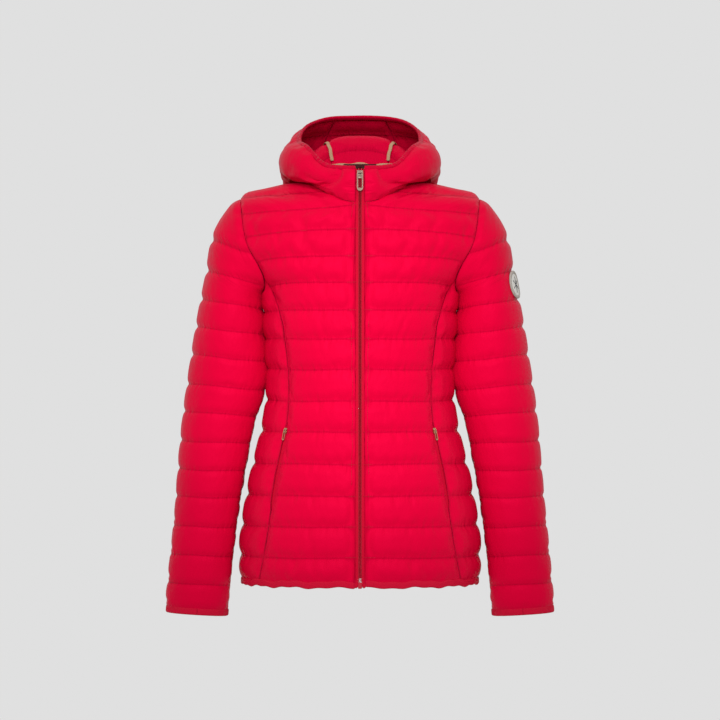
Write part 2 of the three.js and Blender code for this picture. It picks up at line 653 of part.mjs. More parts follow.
/** Shell of the hood's cloth between two distances out from its middle surface. */
function hoodLayer(grid, outer, inner) {
  const move = (distance) => grid.map((row) => row.map(
    ([angle, share]) => hoodPoint(angle, share).addScaledVector(hoodNormal(angle, share), distance),
  ));
  return shell(move(outer), move(inner));
}

/** Edge of the hood's centre panel at a share from neck to face. */
function hoodCentreAngle(share) {
  return lerp(HOOD_CENTRE_NECK, HOOD_CENTRE_FACE, share);
}
const HOOD_SEAM = 0.2; // half a seam's gap as an angle in degrees
const HOOD_END = 0.985; // where the panels stop below the face opening's binding

/** Front part of the hood that stays with the body, and a little seam gap beside it. */
function chinZone() {
  const half = CHIN_HALF_WIDTH + SEAM_GAP;
  return solid(block(2 * half, 150, 300, [0, ZIP_NECK_Y, FRONT_LENGTH]));
}

/** Angle a little inside the chin panels' edge, from which the hood's own pieces are cut. */
const beyondChin = (share) => hoodAngleAtX(CHIN_HALF_WIDTH - 8, share);

/** Binding round the face opening, behind the chin panels. */
function hoodRim() {
  const start = beyondChin(1);
  const grid = [HOOD_END + 0.004, 1, 1.018].map((share) =>
    steps(30, start, 360 - start).map((angle) => [angle, share]));
  return geometryOf(solid(hoodLayer(grid, HOOD_PADDING / 2 - 1, 1 - HOOD_PADDING / 2)).subtract(chinZone()));
}

/** Tape over the seam between the hood's side and centre panels, on its inner face. */
function hoodSeamTape() {
  const depth = HOOD_PADDING / 2 + CLEARANCE;
  const grid = steps(8, 0.06, 0.26).map((share) => {
    const half = HOOD_TAPE.width / 2 / HOOD_TAPE.widthOfDegree;
    const middle = hoodCentreAngle(share);
    return steps(2, middle - half, middle + half).map((angle) => [angle, share]);
  });
  return hoodLayer(grid, -depth, -depth - HOOD_TAPE.thickness);
}

/** Tape round the inside of the neck seam. */
function neckTape() {
  const depth = HOOD_PADDING / 2 + 2 * CLEARANCE;
  const at = (lift, inset) => steps(30, NECK_TAPE.from, 360 - NECK_TAPE.from).map((angle) => {
    const base = hoodPoint(angle, 0);
    const outward = vec(base.x, base.y * 0.9, 0).normalize();
    return base.addScaledVector(outward, -inset).add(vec(0, 0, lift - HOOD_BACK.up[0]));
  });
  const lifts = [NECK_TAPE.lift - NECK_TAPE.height / 2, NECK_TAPE.lift + NECK_TAPE.height / 2];
  const layer = (inset) => lifts.map((lift) => at(lift, inset));
  return shell(layer(depth), layer(depth + NECK_TAPE.thickness));
}

const NECK_BACK = bodyPoint(180, NECK_LEVEL);
const TAPE_FACE_Y = NECK_BACK.y + HOOD_BACK.out[0] - HOOD_PADDING / 2 - 2 * CLEARANCE - NECK_TAPE.thickness;
const LOOP_BACK_Y = TAPE_FACE_Y - NECK_TAPE.sag; // the tape curves forward to here beside the loop's ends
const LOOP_Z = NECK_BACK.z + NECK_TAPE.lift - LOOP.height / 2;

/** Hanger loop: a strip that stands off the neck tape on its two sewn ends. */
function hangerLoop() {
  const depth = LOOP.gap + LOOP.tape;
  const outline = rectangle(-LOOP.halfLength, -depth, LOOP.halfLength, 0);
  const hollow = rectangle(LOOP.tape - LOOP.halfLength, LOOP.tape - depth, LOOP.halfLength - LOOP.tape, 1);
  const straight = { depth: LOOP.height, bevelEnabled: false };
  const strip = (shape) => solid(new THREE.ExtrudeGeometry(shape, straight));
  const through = strip(hollow).scale([1, 1, 3]).translate(0, 0, -LOOP.height);
  return geometryOf(strip(outline).subtract(through)).translate(0, LOOP_BACK_Y, LOOP_Z);
}

// ---- front zip -------------------------------------------------------------------------------------
const ZIP_LENGTH = Math.hypot(FRONT_LENGTH + CHIN_HEIGHT, zipY(FRONT_LENGTH + CHIN_HEIGHT) - ZIP_HEM_Y);
const ZIP_BOX_LENGTH = 10;
const ZIP_SINK = 3; // depth of the coils' middle below the shell
const STOP_LENGTH = 3;

/** Slider: two plates, joined by a web that runs between the coils, and an eye for the pull tab. */
function sliderBody(size, web) {
  const plateY = (size.channel + size.plate) / 2;
  const face = size.channel / 2 + size.plate;
  const eyeRadius = size.pivot - 0.1;
  const round = (radius, length) => new THREE.CylinderGeometry(radius, radius, length, 16)
    .rotateZ(Math.PI / 2).translate(0, -face - size.pivot, size.eyeZ);
  return geometryOf(solid(block(size.width, size.plate, size.length, [0, -plateY, 0]))
    .add(solid(block(size.width, size.plate, size.length, [0, plateY, 0])))
    .add(solid(block(web, size.channel + size.plate, size.length * SLIDER_WEB)))
    .add(solid(round(eyeRadius, size.eye)))
    .add(solid(block(size.eye, size.pivot, 2 * eyeRadius, [0, -face - size.pivot / 2 + 0.2, size.eyeZ])))
    .subtract(solid(round(size.pin + PIN_CLEARANCE, 2 * size.eye))));
}

/** Pull tab that swings on a slider's eye: two short arms with a pin between them, above a slotted tab. */
function pullTab(size, slider) {
  const half = size.width / 2;
  const rib = size.width * 0.2;
  const outline = new THREE.Shape();
  outline.moveTo(half, slider.pin + 0.3);
  outline.lineTo(-half, slider.pin + 0.3);
  outline.absarc(0, half - size.length, half, Math.PI, 2 * Math.PI, false);
  const straight = { depth: size.thickness, bevelEnabled: false, curveSegments: 8 };
  const plate = new THREE.ExtrudeGeometry(outline, straight)
    .rotateX(Math.PI / 2).translate(0, size.thickness / 2, 0);
  const window = (low, high) => solid(block(size.width - 2 * rib, 10, high - low, [0, 0, (low + high) / 2]));
  const pin = new THREE.CylinderGeometry(slider.pin, slider.pin, size.width - rib, 12).rotateZ(Math.PI / 2);
  return geometryOf(solid(plate)
    .subtract(window(-slider.pivot - 0.5, 10))
    .subtract(window(half - size.length, -slider.pivot - 0.5 - rib))
    .add(solid(pin)));
}

// ---- assembly --------------------------------------------------------------------------------------
const cut = pocketCut();
const cutOut = (geometry) => geometryOf(solid(geometry).subtract(cut));
addPair('front_panel', cutOut(frontPanel()), RED_SHELL);
addPair('side_front', cutOut(sidePanel(FRONT_PRINCESS, false)), RED_SHELL);
addPair('side_back', sidePanel(BACK_PRINCESS, true), RED_SHELL);
add('back_panel', backPanel(), RED_SHELL);
add('hem_binding', hemBinding(), RED_TRIM);
addPair('pocket_zip', pocketZip(), RED_TRIM);
addPair('pocket_bag', pocketBag(), RED_LINING);

addPair('sleeve_head', sleeveHead(), RED_SHELL);
addPair('sleeve', sleeve(), RED_SHELL);
addPair('cuff_binding', cuffBinding(), RED_TRIM);

const zipEdge = (share) => hoodAngleAtX(ZIP_OPENING, share);
addPair('chin_panel', geometryOf(solid(hoodPanel(zipEdge, (share) => hoodAngleAtX(62, share), 4))
  .intersect(bar(rectangle(0, 0, CHIN_HALF_WIDTH, 900)))), RED_SHELL);
const hoodSide = hoodPanel(beyondChin, (share) => hoodCentreAngle(share) - HOOD_SEAM, 9, HOOD_END);
addPair('hood_side', geometryOf(solid(hoodSide).subtract(chinZone())), RED_SHELL);
add('hood_centre', hoodPanel((share) => hoodCentreAngle(share) + HOOD_SEAM,
  (share) => 360 - hoodCentreAngle(share) - HOOD_SEAM, 5, HOOD_END), RED_SHELL);
add('hood_rim_binding', hoodRim(), RED_TRIM);
addPair('hood_seam_tape', hoodSeamTape(), BEIGE_TAPE);
add('neck_tape', neckTape(), BEIGE_TAPE);
add('hanger_loop', hangerLoop(), DARK_TAPE);
add('neck_label', block(LABEL.width, LABEL.thickness, LABEL.height,
  [0, NECK_BACK.y - LABEL.depth, NECK_BACK.z - LABEL.height / 2 - LABEL.below]), DARK_TAPE);

const zip = new THREE.Group();
zip.position.set(0, ZIP_HEM_Y, 0);
zip.rotation.x = -Math.atan2(ZIP_NECK_Y - ZIP_HEM_Y, FRONT_LENGTH);
hemFrame.add(zip);
const coilX = COIL_HALF_GAP + COIL_WIDTH / 2;
const tapeX = COIL_HALF_GAP + COIL_WIDTH + CLEARANCE + TAPE_WIDTH / 2;
const coilLength = ZIP_LENGTH - ZIP_BOX_LENGTH - STOP_LENGTH - 2 * CLEARANCE;
const coilZ = ZIP_BOX_LENGTH + CLEARANCE + coilLength / 2;
for (const [side, sign] of [['left', 1], ['right', -1]]) {
  add(`zip_coil_${side}`, block(COIL_WIDTH, COIL_THICKNESS, coilLength, [sign * coilX, ZIP_SINK, coilZ]),
    RED_TRIM, zip);
  add(`zip_tape_${side}`, block(TAPE_WIDTH, TAPE_THICKNESS, ZIP_LENGTH,
    [sign * tapeX, ZIP_SINK, ZIP_LENGTH / 2]), RED_TRIM, zip);
  add(`zip_top_stop_${side}`, block(COIL_WIDTH, COIL_THICKNESS, STOP_LENGTH,
    [sign * coilX, ZIP_SINK, ZIP_LENGTH - STOP_LENGTH / 2]), RED_TRIM, zip);
}
add('zip_bottom_box', block(2 * (COIL_HALF_GAP + COIL_WIDTH), COIL_THICKNESS + 1.6, ZIP_BOX_LENGTH,
  [0, ZIP_SINK, ZIP_BOX_LENGTH / 2]), RED_TRIM, zip);

const eyeOut = (slider) => slider.channel / 2 + slider.plate + slider.pivot;
const sliderZ = ZIP_LENGTH - STOP_LENGTH - CLEARANCE - SLIDER.length / 2;
const zipSlider = add('zip_slider', sliderBody(SLIDER, 2 * COIL_HALF_GAP - 0.8), BRONZE, zip);
zipSlider.position.set(0, ZIP_SINK, sliderZ);
const zipPull = add('zip_pull', pullTab(PULL, SLIDER), BRONZE, zip);
zipPull.position.set(0, ZIP_SINK - eyeOut(SLIDER), sliderZ + SLIDER.eyeZ);

for (const [side, sign] of [['left', 1], ['right', -1]]) {
  const webHalf = POCKET_SLIDER.length * SLIDER_WEB / 2;
  const sliderHeight = POCKET_LENGTH / 2 - POCKET_ZIP_END - CLEARANCE - webHalf;
  const place = (geometry, y, z) => {
    const placed = atPocket(geometry.translate(0, y, z));
    return sign > 0 ? placed : mirrored(placed);
  };
  const middleY = POCKET_ZIP_SINK - TAPE_THICKNESS / 2;
  add(`pocket_slider_${side}`, place(sliderBody(POCKET_SLIDER, 0.9), middleY, sliderHeight), GOLD);
  add(`pocket_pull_${side}`, place(pullTab(POCKET_PULL, POCKET_SLIDER), middleY - eyeOut(POCKET_SLIDER),
    sliderHeight + POCKET_SLIDER.eyeZ), GOLD);
}

const badgeTurn = new THREE.CylinderGeometry(BADGE.radius, BADGE.radius, BADGE.thickness, 32);
badgeTurn.rotateX(Math.PI / 2).translate(0, 0, BADGE.thickness / 2);
const badgeRing = new THREE.LatheGeometry([
  [BADGE.radius + CLEARANCE, 0], [BADGE_BORDER.radius + CLEARANCE, 0],
  [BADGE_BORDER.radius + CLEARANCE, BADGE_BORDER.thickness],
  [BADGE.radius + CLEARANCE, BADGE_BORDER.thickness],
  [BADGE.radius + CLEARANCE, 0],
].map(([x, y]) => new THREE.Vector2(x, y)), 32).rotateX(Math.PI / 2);
const BADGE_PLACE = badgeFrame();
add('sleeve_badge', badgeTurn.applyMatrix4(BADGE_PLACE), PATCH_FIELD);
add('badge_border', badgeRing.applyMatrix4(BADGE_PLACE), PATCH_BORDER);

hemFrame.position.set(0, -(LOOP_BACK_Y - LOOP.gap - LOOP.tape / 2), -LOOP_Z);

export default jacket;
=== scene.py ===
"""Hooded quilted down jacket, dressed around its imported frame.

Lengths are in millimetres in the pattern's own frame, with height 0 at the hem's centre front, -Y the
wearer's front and +X the wearer's left. `to_row` moves finished points into the frame, in metres.
"""
from __future__ import annotations

import logging  # noqa: E402
import math  # noqa: E402
from dataclasses import dataclass, field  # noqa: E402
from enum import Enum  # noqa: E402
from typing import Callable, Sequence  # noqa: E402

import bpy  # noqa: E402
import numpy as np  # noqa: E402
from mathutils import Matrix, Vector  # noqa: E402


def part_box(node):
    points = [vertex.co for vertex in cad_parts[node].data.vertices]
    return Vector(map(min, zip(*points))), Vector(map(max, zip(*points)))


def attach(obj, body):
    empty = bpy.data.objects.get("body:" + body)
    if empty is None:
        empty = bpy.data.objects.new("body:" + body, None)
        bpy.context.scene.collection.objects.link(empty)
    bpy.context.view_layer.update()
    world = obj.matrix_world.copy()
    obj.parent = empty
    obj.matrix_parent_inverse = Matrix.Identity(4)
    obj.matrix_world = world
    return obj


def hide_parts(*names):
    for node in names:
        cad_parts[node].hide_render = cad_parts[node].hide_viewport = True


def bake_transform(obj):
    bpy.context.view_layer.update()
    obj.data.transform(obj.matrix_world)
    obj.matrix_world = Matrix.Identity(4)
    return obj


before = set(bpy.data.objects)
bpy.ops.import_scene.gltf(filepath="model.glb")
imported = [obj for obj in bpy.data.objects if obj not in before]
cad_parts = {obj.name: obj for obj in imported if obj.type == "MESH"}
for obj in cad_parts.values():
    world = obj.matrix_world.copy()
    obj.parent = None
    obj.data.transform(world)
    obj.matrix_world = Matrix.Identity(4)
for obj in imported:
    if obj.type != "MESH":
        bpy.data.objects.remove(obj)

log = logging.getLogger("jacket")
Array = np.ndarray
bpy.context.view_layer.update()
HEM_ORIGIN = np.array([0.0, -34.3, -645.5])  # the hem's centre in the frame, in millimetres
MILLIMETRE = 0.001
FINE_HALVINGS = 36  # steps of a search on the body
HALVINGS = 30  # steps of a search on a sleeve or the hood
ROW_CORRECTIONS = 12


class Side(Enum):
    """Side of the wearer; the value is the sign of X."""

    LEFT = 1
    RIGHT = -1

    @property
    def word(self) -> str:
        """The side's name in piece and body names."""
        return self.name.lower()

    @property
    def flip(self) -> Array:
        """Factors that bring points of the wearer's left to this side."""
        return np.array([self.value, 1, 1])


class Slot(Enum):
    """Names of the material slots."""

    SHELL = "shell_red"
    LINING = "lining_red"
    TRIM = "trim_red"
    BEIGE = "beige_tape"
    DARK = "dark_tape"
    BRONZE = "bronze"
    GOLD = "gold"
    FIELD = "patch_field"
    BORDER = "patch_border"


# ---- numbers and meshes ------------------------------------------------------------------------------
def to_row(points: Array) -> Array:
    """Pattern points in the frame, in metres."""
    return (np.asarray(points, float) + HEM_ORIGIN) * MILLIMETRE


def from_row(points: Array) -> Array:
    """Points of the frame, in metres, as pattern points."""
    return np.asarray(points, float) / MILLIMETRE - HEM_ORIGIN


def curve(values: Sequence[float], station: Array) -> Array:
    """Value at a station number of the smooth curve through evenly numbered stations."""
    table = np.asarray(values, float)
    last = len(table) - 1
    station = np.asarray(station, float)
    i = np.clip(np.floor(station).astype(int), 0, last - 1)
    t = station - i
    a, b, c, d = table[np.maximum(i - 1, 0)], table[i], table[i + 1], table[np.minimum(i + 2, last)]
    return b + 0.5 * t * (c - a + t * (2 * a - 5 * b + 4 * c - d + t * (3 * (b - c) + d - a)))


def smoothstep(x: Array, low: float, high: float) -> Array:
    """Smooth step from 0 at low to 1 at high."""
    t = np.clip((np.asarray(x, float) - low) / (high - low), 0, 1)
    return t * t * (3 - 2 * t)


def signed_power(value: Array, exponent: Array) -> Array:
    """Power of the magnitude, with the sign kept."""
    return np.sign(value) * np.abs(value) ** exponent


def unit(vectors: Array) -> Array:
    """Vectors scaled to length one."""
    return vectors / np.maximum(np.linalg.norm(vectors, axis=-1, keepdims=True), 1e-9)


def run_along(points: Array, axis: int) -> Array:
    """Distance run along a line of points, or along the rows or columns of a grid of them."""
    steps = np.linalg.norm(np.diff(points, axis=axis), axis=-1)
    return np.concatenate([np.zeros_like(np.take(steps, [0], axis)), np.cumsum(steps, axis)], axis)


def halved(test: Callable[[Array], Array], low: Array, high: Array, steps: int) -> tuple[Array, Array]:
    """Closes in on where a test turns false.

    Args:
        test: true for values below the sought one.
        low: lower limits.
        high: upper limits.
        steps: how many times the range is halved.

    Returns:
        The last lower and upper limits.
    """
    for _ in range(steps):
        middle = (low + high) / 2
        below = test(middle)
        low, high = np.where(below, middle, low), np.where(below, high, middle)
    return low, high


def row_through(height: Array, height_of: Callable[[Array], Array]) -> Array:
    """Row that has a height, by repeated correction."""
    found = np.asarray(height, float)
    for _ in range(ROW_CORRECTIONS):
        found = height + (found - height_of(found))
    return found


def letter_sum(name: str) -> int:
    """Number that belongs to a name, the same in every session."""
    return sum(ord(c) for c in name)


def waves(x: Array, y: Array, seed: int, count: int = 5) -> Array:
    """Smooth irregular field of about unit size over x and y, in radians of its longest wave."""
    rng = np.random.default_rng(seed)
    total = np.zeros(np.broadcast(x, y).shape)
    for _ in range(count):
        fx, fy = rng.uniform(0.5, 2.2, 2)
        total += np.sin(fx * x + fy * y * rng.choice([-1, 1]) + rng.uniform(0, 2 * math.pi))
    return total / count ** 0.5


def quads(rows: int, columns: int, start: int = 0, wrapped: bool = False) -> Array:
    """Faces of a grid whose points are numbered row by row."""
    across = columns if wrapped else columns - 1
    r, c = np.meshgrid(np.arange(rows - 1), np.arange(across), indexing="ij")
    n = (c + 1) % columns
    faces = np.stack([r * columns + c, r * columns + n, (r + 1) * columns + n, (r + 1) * columns + c], -1)
    return faces.reshape(-1, 4) + start


@dataclass
class Sewn:
    """A mesh under construction: points in the pattern's frame, faces, cloth coordinates and marks."""

    points: Array
    faces: list[tuple[int, ...]]
    cloth: Array | None = None
    crown: Array | None = None

    def volume(self) -> float:
        """Signed volume, positive where the faces point out."""
        total = 0.0
        for face in self.faces:
            a = self.points[face[0]]
            for k in range(1, len(face) - 1):
                total += float(np.dot(a, np.cross(self.points[face[k]], self.points[face[k + 1]])))
        return total / 6

    def make(self, name: str, smooth: bool = True) -> bpy.types.Object:
        """Turns the mesh into an object with its faces outwards.

        Args:
            name: the piece's name.
            smooth: whether its faces are shaded smooth.

        Returns:
            The new object, in the frame, in metres.
        """
        faces = [tuple(int(i) for i in f) for f in self.faces]
        if self.volume() < 0:
            faces = [f[::-1] for f in faces]
        mesh = bpy.data.meshes.new(name)
        mesh.from_pydata(to_row(self.points).tolist(), [], faces)
        if smooth:
            mesh.polygons.foreach_set("use_smooth", [True] * len(mesh.polygons))
        if self.cloth is not None:
            layer = mesh.uv_layers.new(name="cloth")
            index = np.zeros(len(mesh.loops), int)
            mesh.loops.foreach_get("vertex_index", index)
            layer.data.foreach_set("uv", np.asarray(self.cloth, float)[index].ravel())
        if self.crown is not None:
            mark = mesh.attributes.new("crown", "FLOAT", "POINT")
            mark.data.foreach_set("value", np.asarray(self.crown, np.float32))
        mesh.validate()
        made = bpy.data.objects.new(f"{name}_sewn", mesh)
        bpy.context.scene.collection.objects.link(made)
        return made


def doubled(values: Array | None, size: int) -> Array | None:
    """Values of one layer's points, repeated for the other layer."""
    return None if values is None else np.concatenate([values.reshape(size, -1)] * 2)


def closed_layers(outer: Array, inner: Array, cloth: Array | None = None, crown: Array | None = None,
                  wrapped: bool = False) -> Sewn:
    """Closed shell between two grids of points.

    Args:
        outer: outer grid, rows by columns by 3.
        inner: inner grid of the same shape.
        cloth: cloth coordinates of the grid.
        crown: 0 on seams to 1 between them, for each grid point.
        wrapped: whether the last column joins the first.

    Returns:
        The closed mesh.
    """
    rows, columns = outer.shape[:2]
    size = rows * columns
    faces = [tuple(f) for f in quads(rows, columns, 0, wrapped)]
    faces += [tuple(f[::-1]) for f in quads(rows, columns, size, wrapped)]
    ids = np.arange(size).reshape(rows, columns)
    if wrapped:
        loops = [np.append(ids[0], ids[0][0])[::-1], np.append(ids[-1], ids[-1][0])]
    else:
        loops = [np.concatenate([ids[0, ::-1], ids[1:, 0], ids[-1, 1:], ids[-2:0:-1, -1], ids[:1, -1]])]
    for loop in loops:
        faces += [(int(b), int(a), int(a) + size, int(b) + size) for a, b in zip(loop[:-1], loop[1:])]
    points = np.concatenate([outer.reshape(-1, 3), inner.reshape(-1, 3)])
    marks = doubled(crown, size)
    return Sewn(points, faces, doubled(cloth, size), None if marks is None else marks.ravel())


def swept(path: Array, across: Array, up: Array, outline: Array, capped: bool = True) -> Sewn:
    """Closed bar along a path.

    Args:
        path: points along the bar.
        across: unit directions of the outline's first axis, one for each path point.
        up: unit directions of the outline's second axis.
        outline: closed outline, points by 2, or path points by outline points by 2.
        capped: whether the ends are closed; otherwise the bar is a closed ring.

    Returns:
        The closed mesh, with cloth coordinates along and around it.
    """
    shape = np.broadcast_to(outline, (len(path), *np.asarray(outline).shape[-2:]))
    rings = path[:, None] + across[:, None] * shape[..., :1] + up[:, None] * shape[..., 1:]
    rows, columns = rings.shape[:2]
    faces = [tuple(f) for f in quads(rows, columns, 0, True)]
    if capped:
        faces += [tuple(range(columns))[::-1], tuple(range((rows - 1) * columns, rows * columns))]
    else:
        faces += [((rows - 1) * columns + c, (rows - 1) * columns + (c + 1) % columns, (c + 1) % columns, c)
                  for c in range(columns)]
    around = np.linspace(0, 1, columns)
    cloth = np.stack(np.broadcast_arrays(run_along(path, 0)[:, None], around[None]), -1).reshape(-1, 2)
    return Sewn(rings.reshape(-1, 3), faces, cloth)


def rounded(width: float, height: float, radius: float, corner: int = 3) -> Array:
    """Outline of a rectangle with rounded corners, about its middle."""
    points = []
    for cx, cy, turn in ((1, 1, 0), (-1, 1, 90), (-1, -1, 180), (1, -1, 270)):
        for k in range(corner + 1):
            a = math.radians(turn + 90 * k / corner)
            points.append((cx * (width / 2 - radius) + radius * math.cos(a),
                           cy * (height / 2 - radius) + radius * math.sin(a)))
    return np.array(points)


def subdivide(piece: bpy.types.Object, levels: int = 1) -> None:
    """Adds a subdivision surface with the same level in views and renders."""
    modifier = piece.modifiers.new("smooth", "SUBSURF")
    modifier.levels = modifier.render_levels = levels


# ---- finishes ----------------------------------------------------------------------------------------
Rgb = tuple[float, float, float]


@dataclass
class Nodes:
    """Short way to write a material's nodes."""

    material: bpy.types.Material

    def add(self, kind: str, **inputs: object) -> bpy.types.Node:
        """Adds a node; an input's name may be its position, as in _0."""
        node = self.material.node_tree.nodes.new(kind)
        for name, value in inputs.items():
            if name.startswith("set_"):
                setattr(node, name[4:], value)
        for name, value in inputs.items():
            if not name.startswith("set_"):
                key = int(name[1:]) if name[0] == "_" else name.replace("_", " ")
                self.put(node.inputs[key], value)
        return node

    def put(self, socket: bpy.types.NodeSocket, value: object) -> None:
        """Links a socket to another, or sets its value."""
        if isinstance(value, bpy.types.NodeSocket):
            self.material.node_tree.links.new(value, socket)
        else:
            socket.default_value = value

    def maths(self, operation: str, *values: object) -> bpy.types.NodeSocket:
        """Result of a Math node."""
        node = self.add("ShaderNodeMath", set_operation=operation)
        for i, value in enumerate(values):
            self.put(node.inputs[i], value)
        return node.outputs[0]

    def span(self, value: bpy.types.NodeSocket, low: float, high: float) -> bpy.types.NodeSocket:
        """A value from 0 to 1, spread from low to high."""
        return self.add("ShaderNodeMapRange", Value=value, To_Min=low, To_Max=high).outputs[0]

    def noise(self, place: bpy.types.NodeSocket, scale: float, detail: float = 3,
              stretch: Rgb = (1, 1, 1)) -> bpy.types.NodeSocket:
        """Noise from 0 to 1, with its coordinates stretched."""
        mapped = self.add("ShaderNodeMapping", Vector=place, Scale=stretch).outputs[0]
        return self.add("ShaderNodeTexNoise", Vector=mapped, Scale=scale, Detail=detail).outputs[0]

    def mix(self, factor: object, a: Rgb, b: Rgb) -> bpy.types.NodeSocket:
        """Colour between two colours."""
        node = self.add("ShaderNodeMix", set_data_type="RGBA")
        self.put(node.inputs[0], factor)
        self.put(node.inputs[6], (*a, 1))
        self.put(node.inputs[7], (*b, 1))
        return node.outputs[2]

    def bump(self, height: bpy.types.NodeSocket, distance: float, strength: float = 1,
             normal: bpy.types.NodeSocket | None = None) -> bpy.types.NodeSocket:
        """Normal of a bump, on top of another one."""
        node = self.add("ShaderNodeBump", Height=height, Distance=distance, Strength=strength)
        if normal is not None:
            self.put(node.inputs["Normal"], normal)
        return node.outputs[0]


@dataclass(frozen=True)
class Finish:
    """A finish: its name, base colour and constant shader values."""

    name: str
    colour: Rgb
    roughness: float = 0.6

    def begin(self) -> tuple[Nodes, bpy.types.Node, bpy.types.Node]:
        """Makes the material; returns its nodes, shader and texture coordinates."""
        material = bpy.data.materials.new(self.name)
        material.use_nodes = True
        nodes = Nodes(material)
        shader = material.node_tree.nodes["Principled BSDF"]
        shader.inputs["Base Color"].default_value = (*self.colour, 1)
        shader.inputs["Roughness"].default_value = self.roughness
        material.diffuse_color = (*self.colour, 1)
        return nodes, shader, nodes.add("ShaderNodeTexCoord")

    def material(self) -> bpy.types.Material:
        """Builds the material."""
        raise NotImplementedError

    def scaled(self, factor: float) -> Rgb:
        """The base colour, darker or lighter."""
        return tuple(min(1.0, c * factor) for c in self.colour)


@dataclass(frozen=True)
class DownproofNylon(Finish):
    """Thin calendered nylon: soft gloss, fine weave, puckers that run out from the stitching, and painted
    shade that darkens it along the stitched seams.
    """

    puckers: float = 0.85
    sheen: float = 0.05

    def material(self) -> bpy.types.Material:
        """Builds the material."""
        nodes, shader, place = self.begin()
        weave = place.outputs["UV"]
        where = place.outputs["Object"]
        crown = nodes.add("ShaderNodeAttribute", set_attribute_name="crown").outputs["Fac"]
        cloudy = nodes.noise(where, 9, 4)
        tone = nodes.mix(cloudy, self.scaled(0.93), self.scaled(1.05))
        # Painted shade: the colour is multiplied down to 0.8 along the stitched seams, standing in for shadow
        # in the quilting's valleys.
        shade = nodes.add("ShaderNodeMix", set_data_type="RGBA", set_blend_type="MULTIPLY")
        nodes.put(shade.inputs[0], 1.0)
        nodes.put(shade.inputs[6], tone)
        painted_shade_fade = nodes.maths("MINIMUM", nodes.maths("MULTIPLY", crown, 5.0), 1.0)
        nodes.put(shade.inputs[7], nodes.mix(painted_shade_fade, (0.8, 0.8, 0.8), (1, 1, 1)))
        nodes.put(shader.inputs["Base Color"], shade.outputs[2])
        nodes.put(shader.inputs["Roughness"],
                  nodes.span(nodes.noise(where, 26, 5), self.roughness - 0.05, self.roughness + 0.07))
        shader.inputs["Specular IOR Level"].default_value = 0.2
        shader.inputs["Specular Tint"].default_value = (1.0, 0.02, 0.14, 1)
        shader.inputs["Sheen Weight"].default_value = self.sheen
        shader.inputs["Sheen Roughness"].default_value = 0.5
        shader.inputs["Sheen Tint"].default_value = (1.0, 0.01, 0.08, 1)
        near_seam = nodes.maths("POWER", nodes.maths("SUBTRACT", 1.0, crown), 2.0)
        pucker = nodes.maths("MULTIPLY", nodes.noise(weave, 0.16, 2, (1, 0.12, 1)), near_seam)
        crinkle = nodes.noise(weave, 0.055, 5, (1, 0.55, 1))
        threads = nodes.add("ShaderNodeTexWave", Vector=weave, Scale=0.9, Distortion=0.6).outputs[1]
        normal = nodes.bump(pucker, 0.004, self.puckers)
        normal = nodes.bump(crinkle, 0.0034, 0.6, normal)
        nodes.put(shader.inputs["Normal"], nodes.bump(threads, 0.00004, 0.3, normal))
        return nodes.material


@dataclass(frozen=True)
class RibbedElastic(Finish):
    """Narrow elastic binding with fine gathered ribs."""

    def material(self) -> bpy.types.Material:
        """Builds the material."""
        nodes, shader, place = self.begin()
        ribs = nodes.add("ShaderNodeTexWave", Vector=place.outputs["UV"], Scale=0.32, Distortion=1.2,
                         Detail=2.0).outputs[1]
        nodes.put(shader.inputs["Base Color"], nodes.mix(ribs, self.scaled(0.86), self.scaled(1.06)))
        shader.inputs["Specular IOR Level"].default_value = 0.1
        nodes.put(shader.inputs["Normal"], nodes.bump(ribs, 0.0004, 0.7))
        return nodes.material


@dataclass(frozen=True)
class WovenTape(Finish):
    """Woven tape with a herringbone of slanting threads."""

    thread: float = 1.1

    def material(self) -> bpy.types.Material:
        """Builds the material."""
        nodes, shader, place = self.begin()
        split = nodes.add("ShaderNodeSeparateXYZ", Vector=place.outputs["UV"])
        fold = nodes.maths("PINGPONG", split.outputs[1], 0.25)
        slant = nodes.maths("ADD", nodes.maths("MULTIPLY", split.outputs[0], self.thread),
                            nodes.maths("MULTIPLY", fold, 10.0))
        threads = nodes.maths("PINGPONG", slant, 1.0)
        nodes.put(shader.inputs["Base Color"], nodes.mix(threads, self.scaled(0.7), self.scaled(1.1)))
        shader.inputs["Specular IOR Level"].default_value = 0.08
        nodes.put(shader.inputs["Normal"], nodes.bump(threads, 0.0003, 0.8))
        return nodes.material


@dataclass(frozen=True)
class Thread(Finish):
    """Spun thread."""

    def material(self) -> bpy.types.Material:
        """Builds the material."""
        nodes, shader, place = self.begin()
        fuzz = nodes.noise(place.outputs["Object"], 900, 2)
        nodes.put(shader.inputs["Base Color"], nodes.mix(fuzz, self.scaled(0.8), self.scaled(1.1)))
        shader.inputs["Specular IOR Level"].default_value = 0.3
        nodes.put(shader.inputs["Normal"], nodes.bump(fuzz, 0.0001, 0.5))
        return nodes.material


@dataclass(frozen=True)
class CastMetal(Finish):
    """Plated die-cast metal, worn brighter in scattered spots."""

    worn: Rgb = (0.6, 0.5, 0.4)
    wear: float = 0.35

    def material(self) -> bpy.types.Material:
        """Builds the material."""
        nodes, shader, place = self.begin()
        grain = nodes.noise(place.outputs["Object"], 420, 6)
        rubbed = nodes.add("ShaderNodeMapRange", Value=grain, From_Min=0.62 - self.wear * 0.2, From_Max=0.75)
        nodes.put(shader.inputs["Base Color"], nodes.mix(rubbed.outputs[0], self.colour, self.worn))
        shader.inputs["Metallic"].default_value = 1.0
        nodes.put(shader.inputs["Roughness"], nodes.span(grain, self.roughness - 0.08, self.roughness + 0.15))
        nodes.put(shader.inputs["Normal"], nodes.bump(grain, 0.00012, 0.4))
        return nodes.material


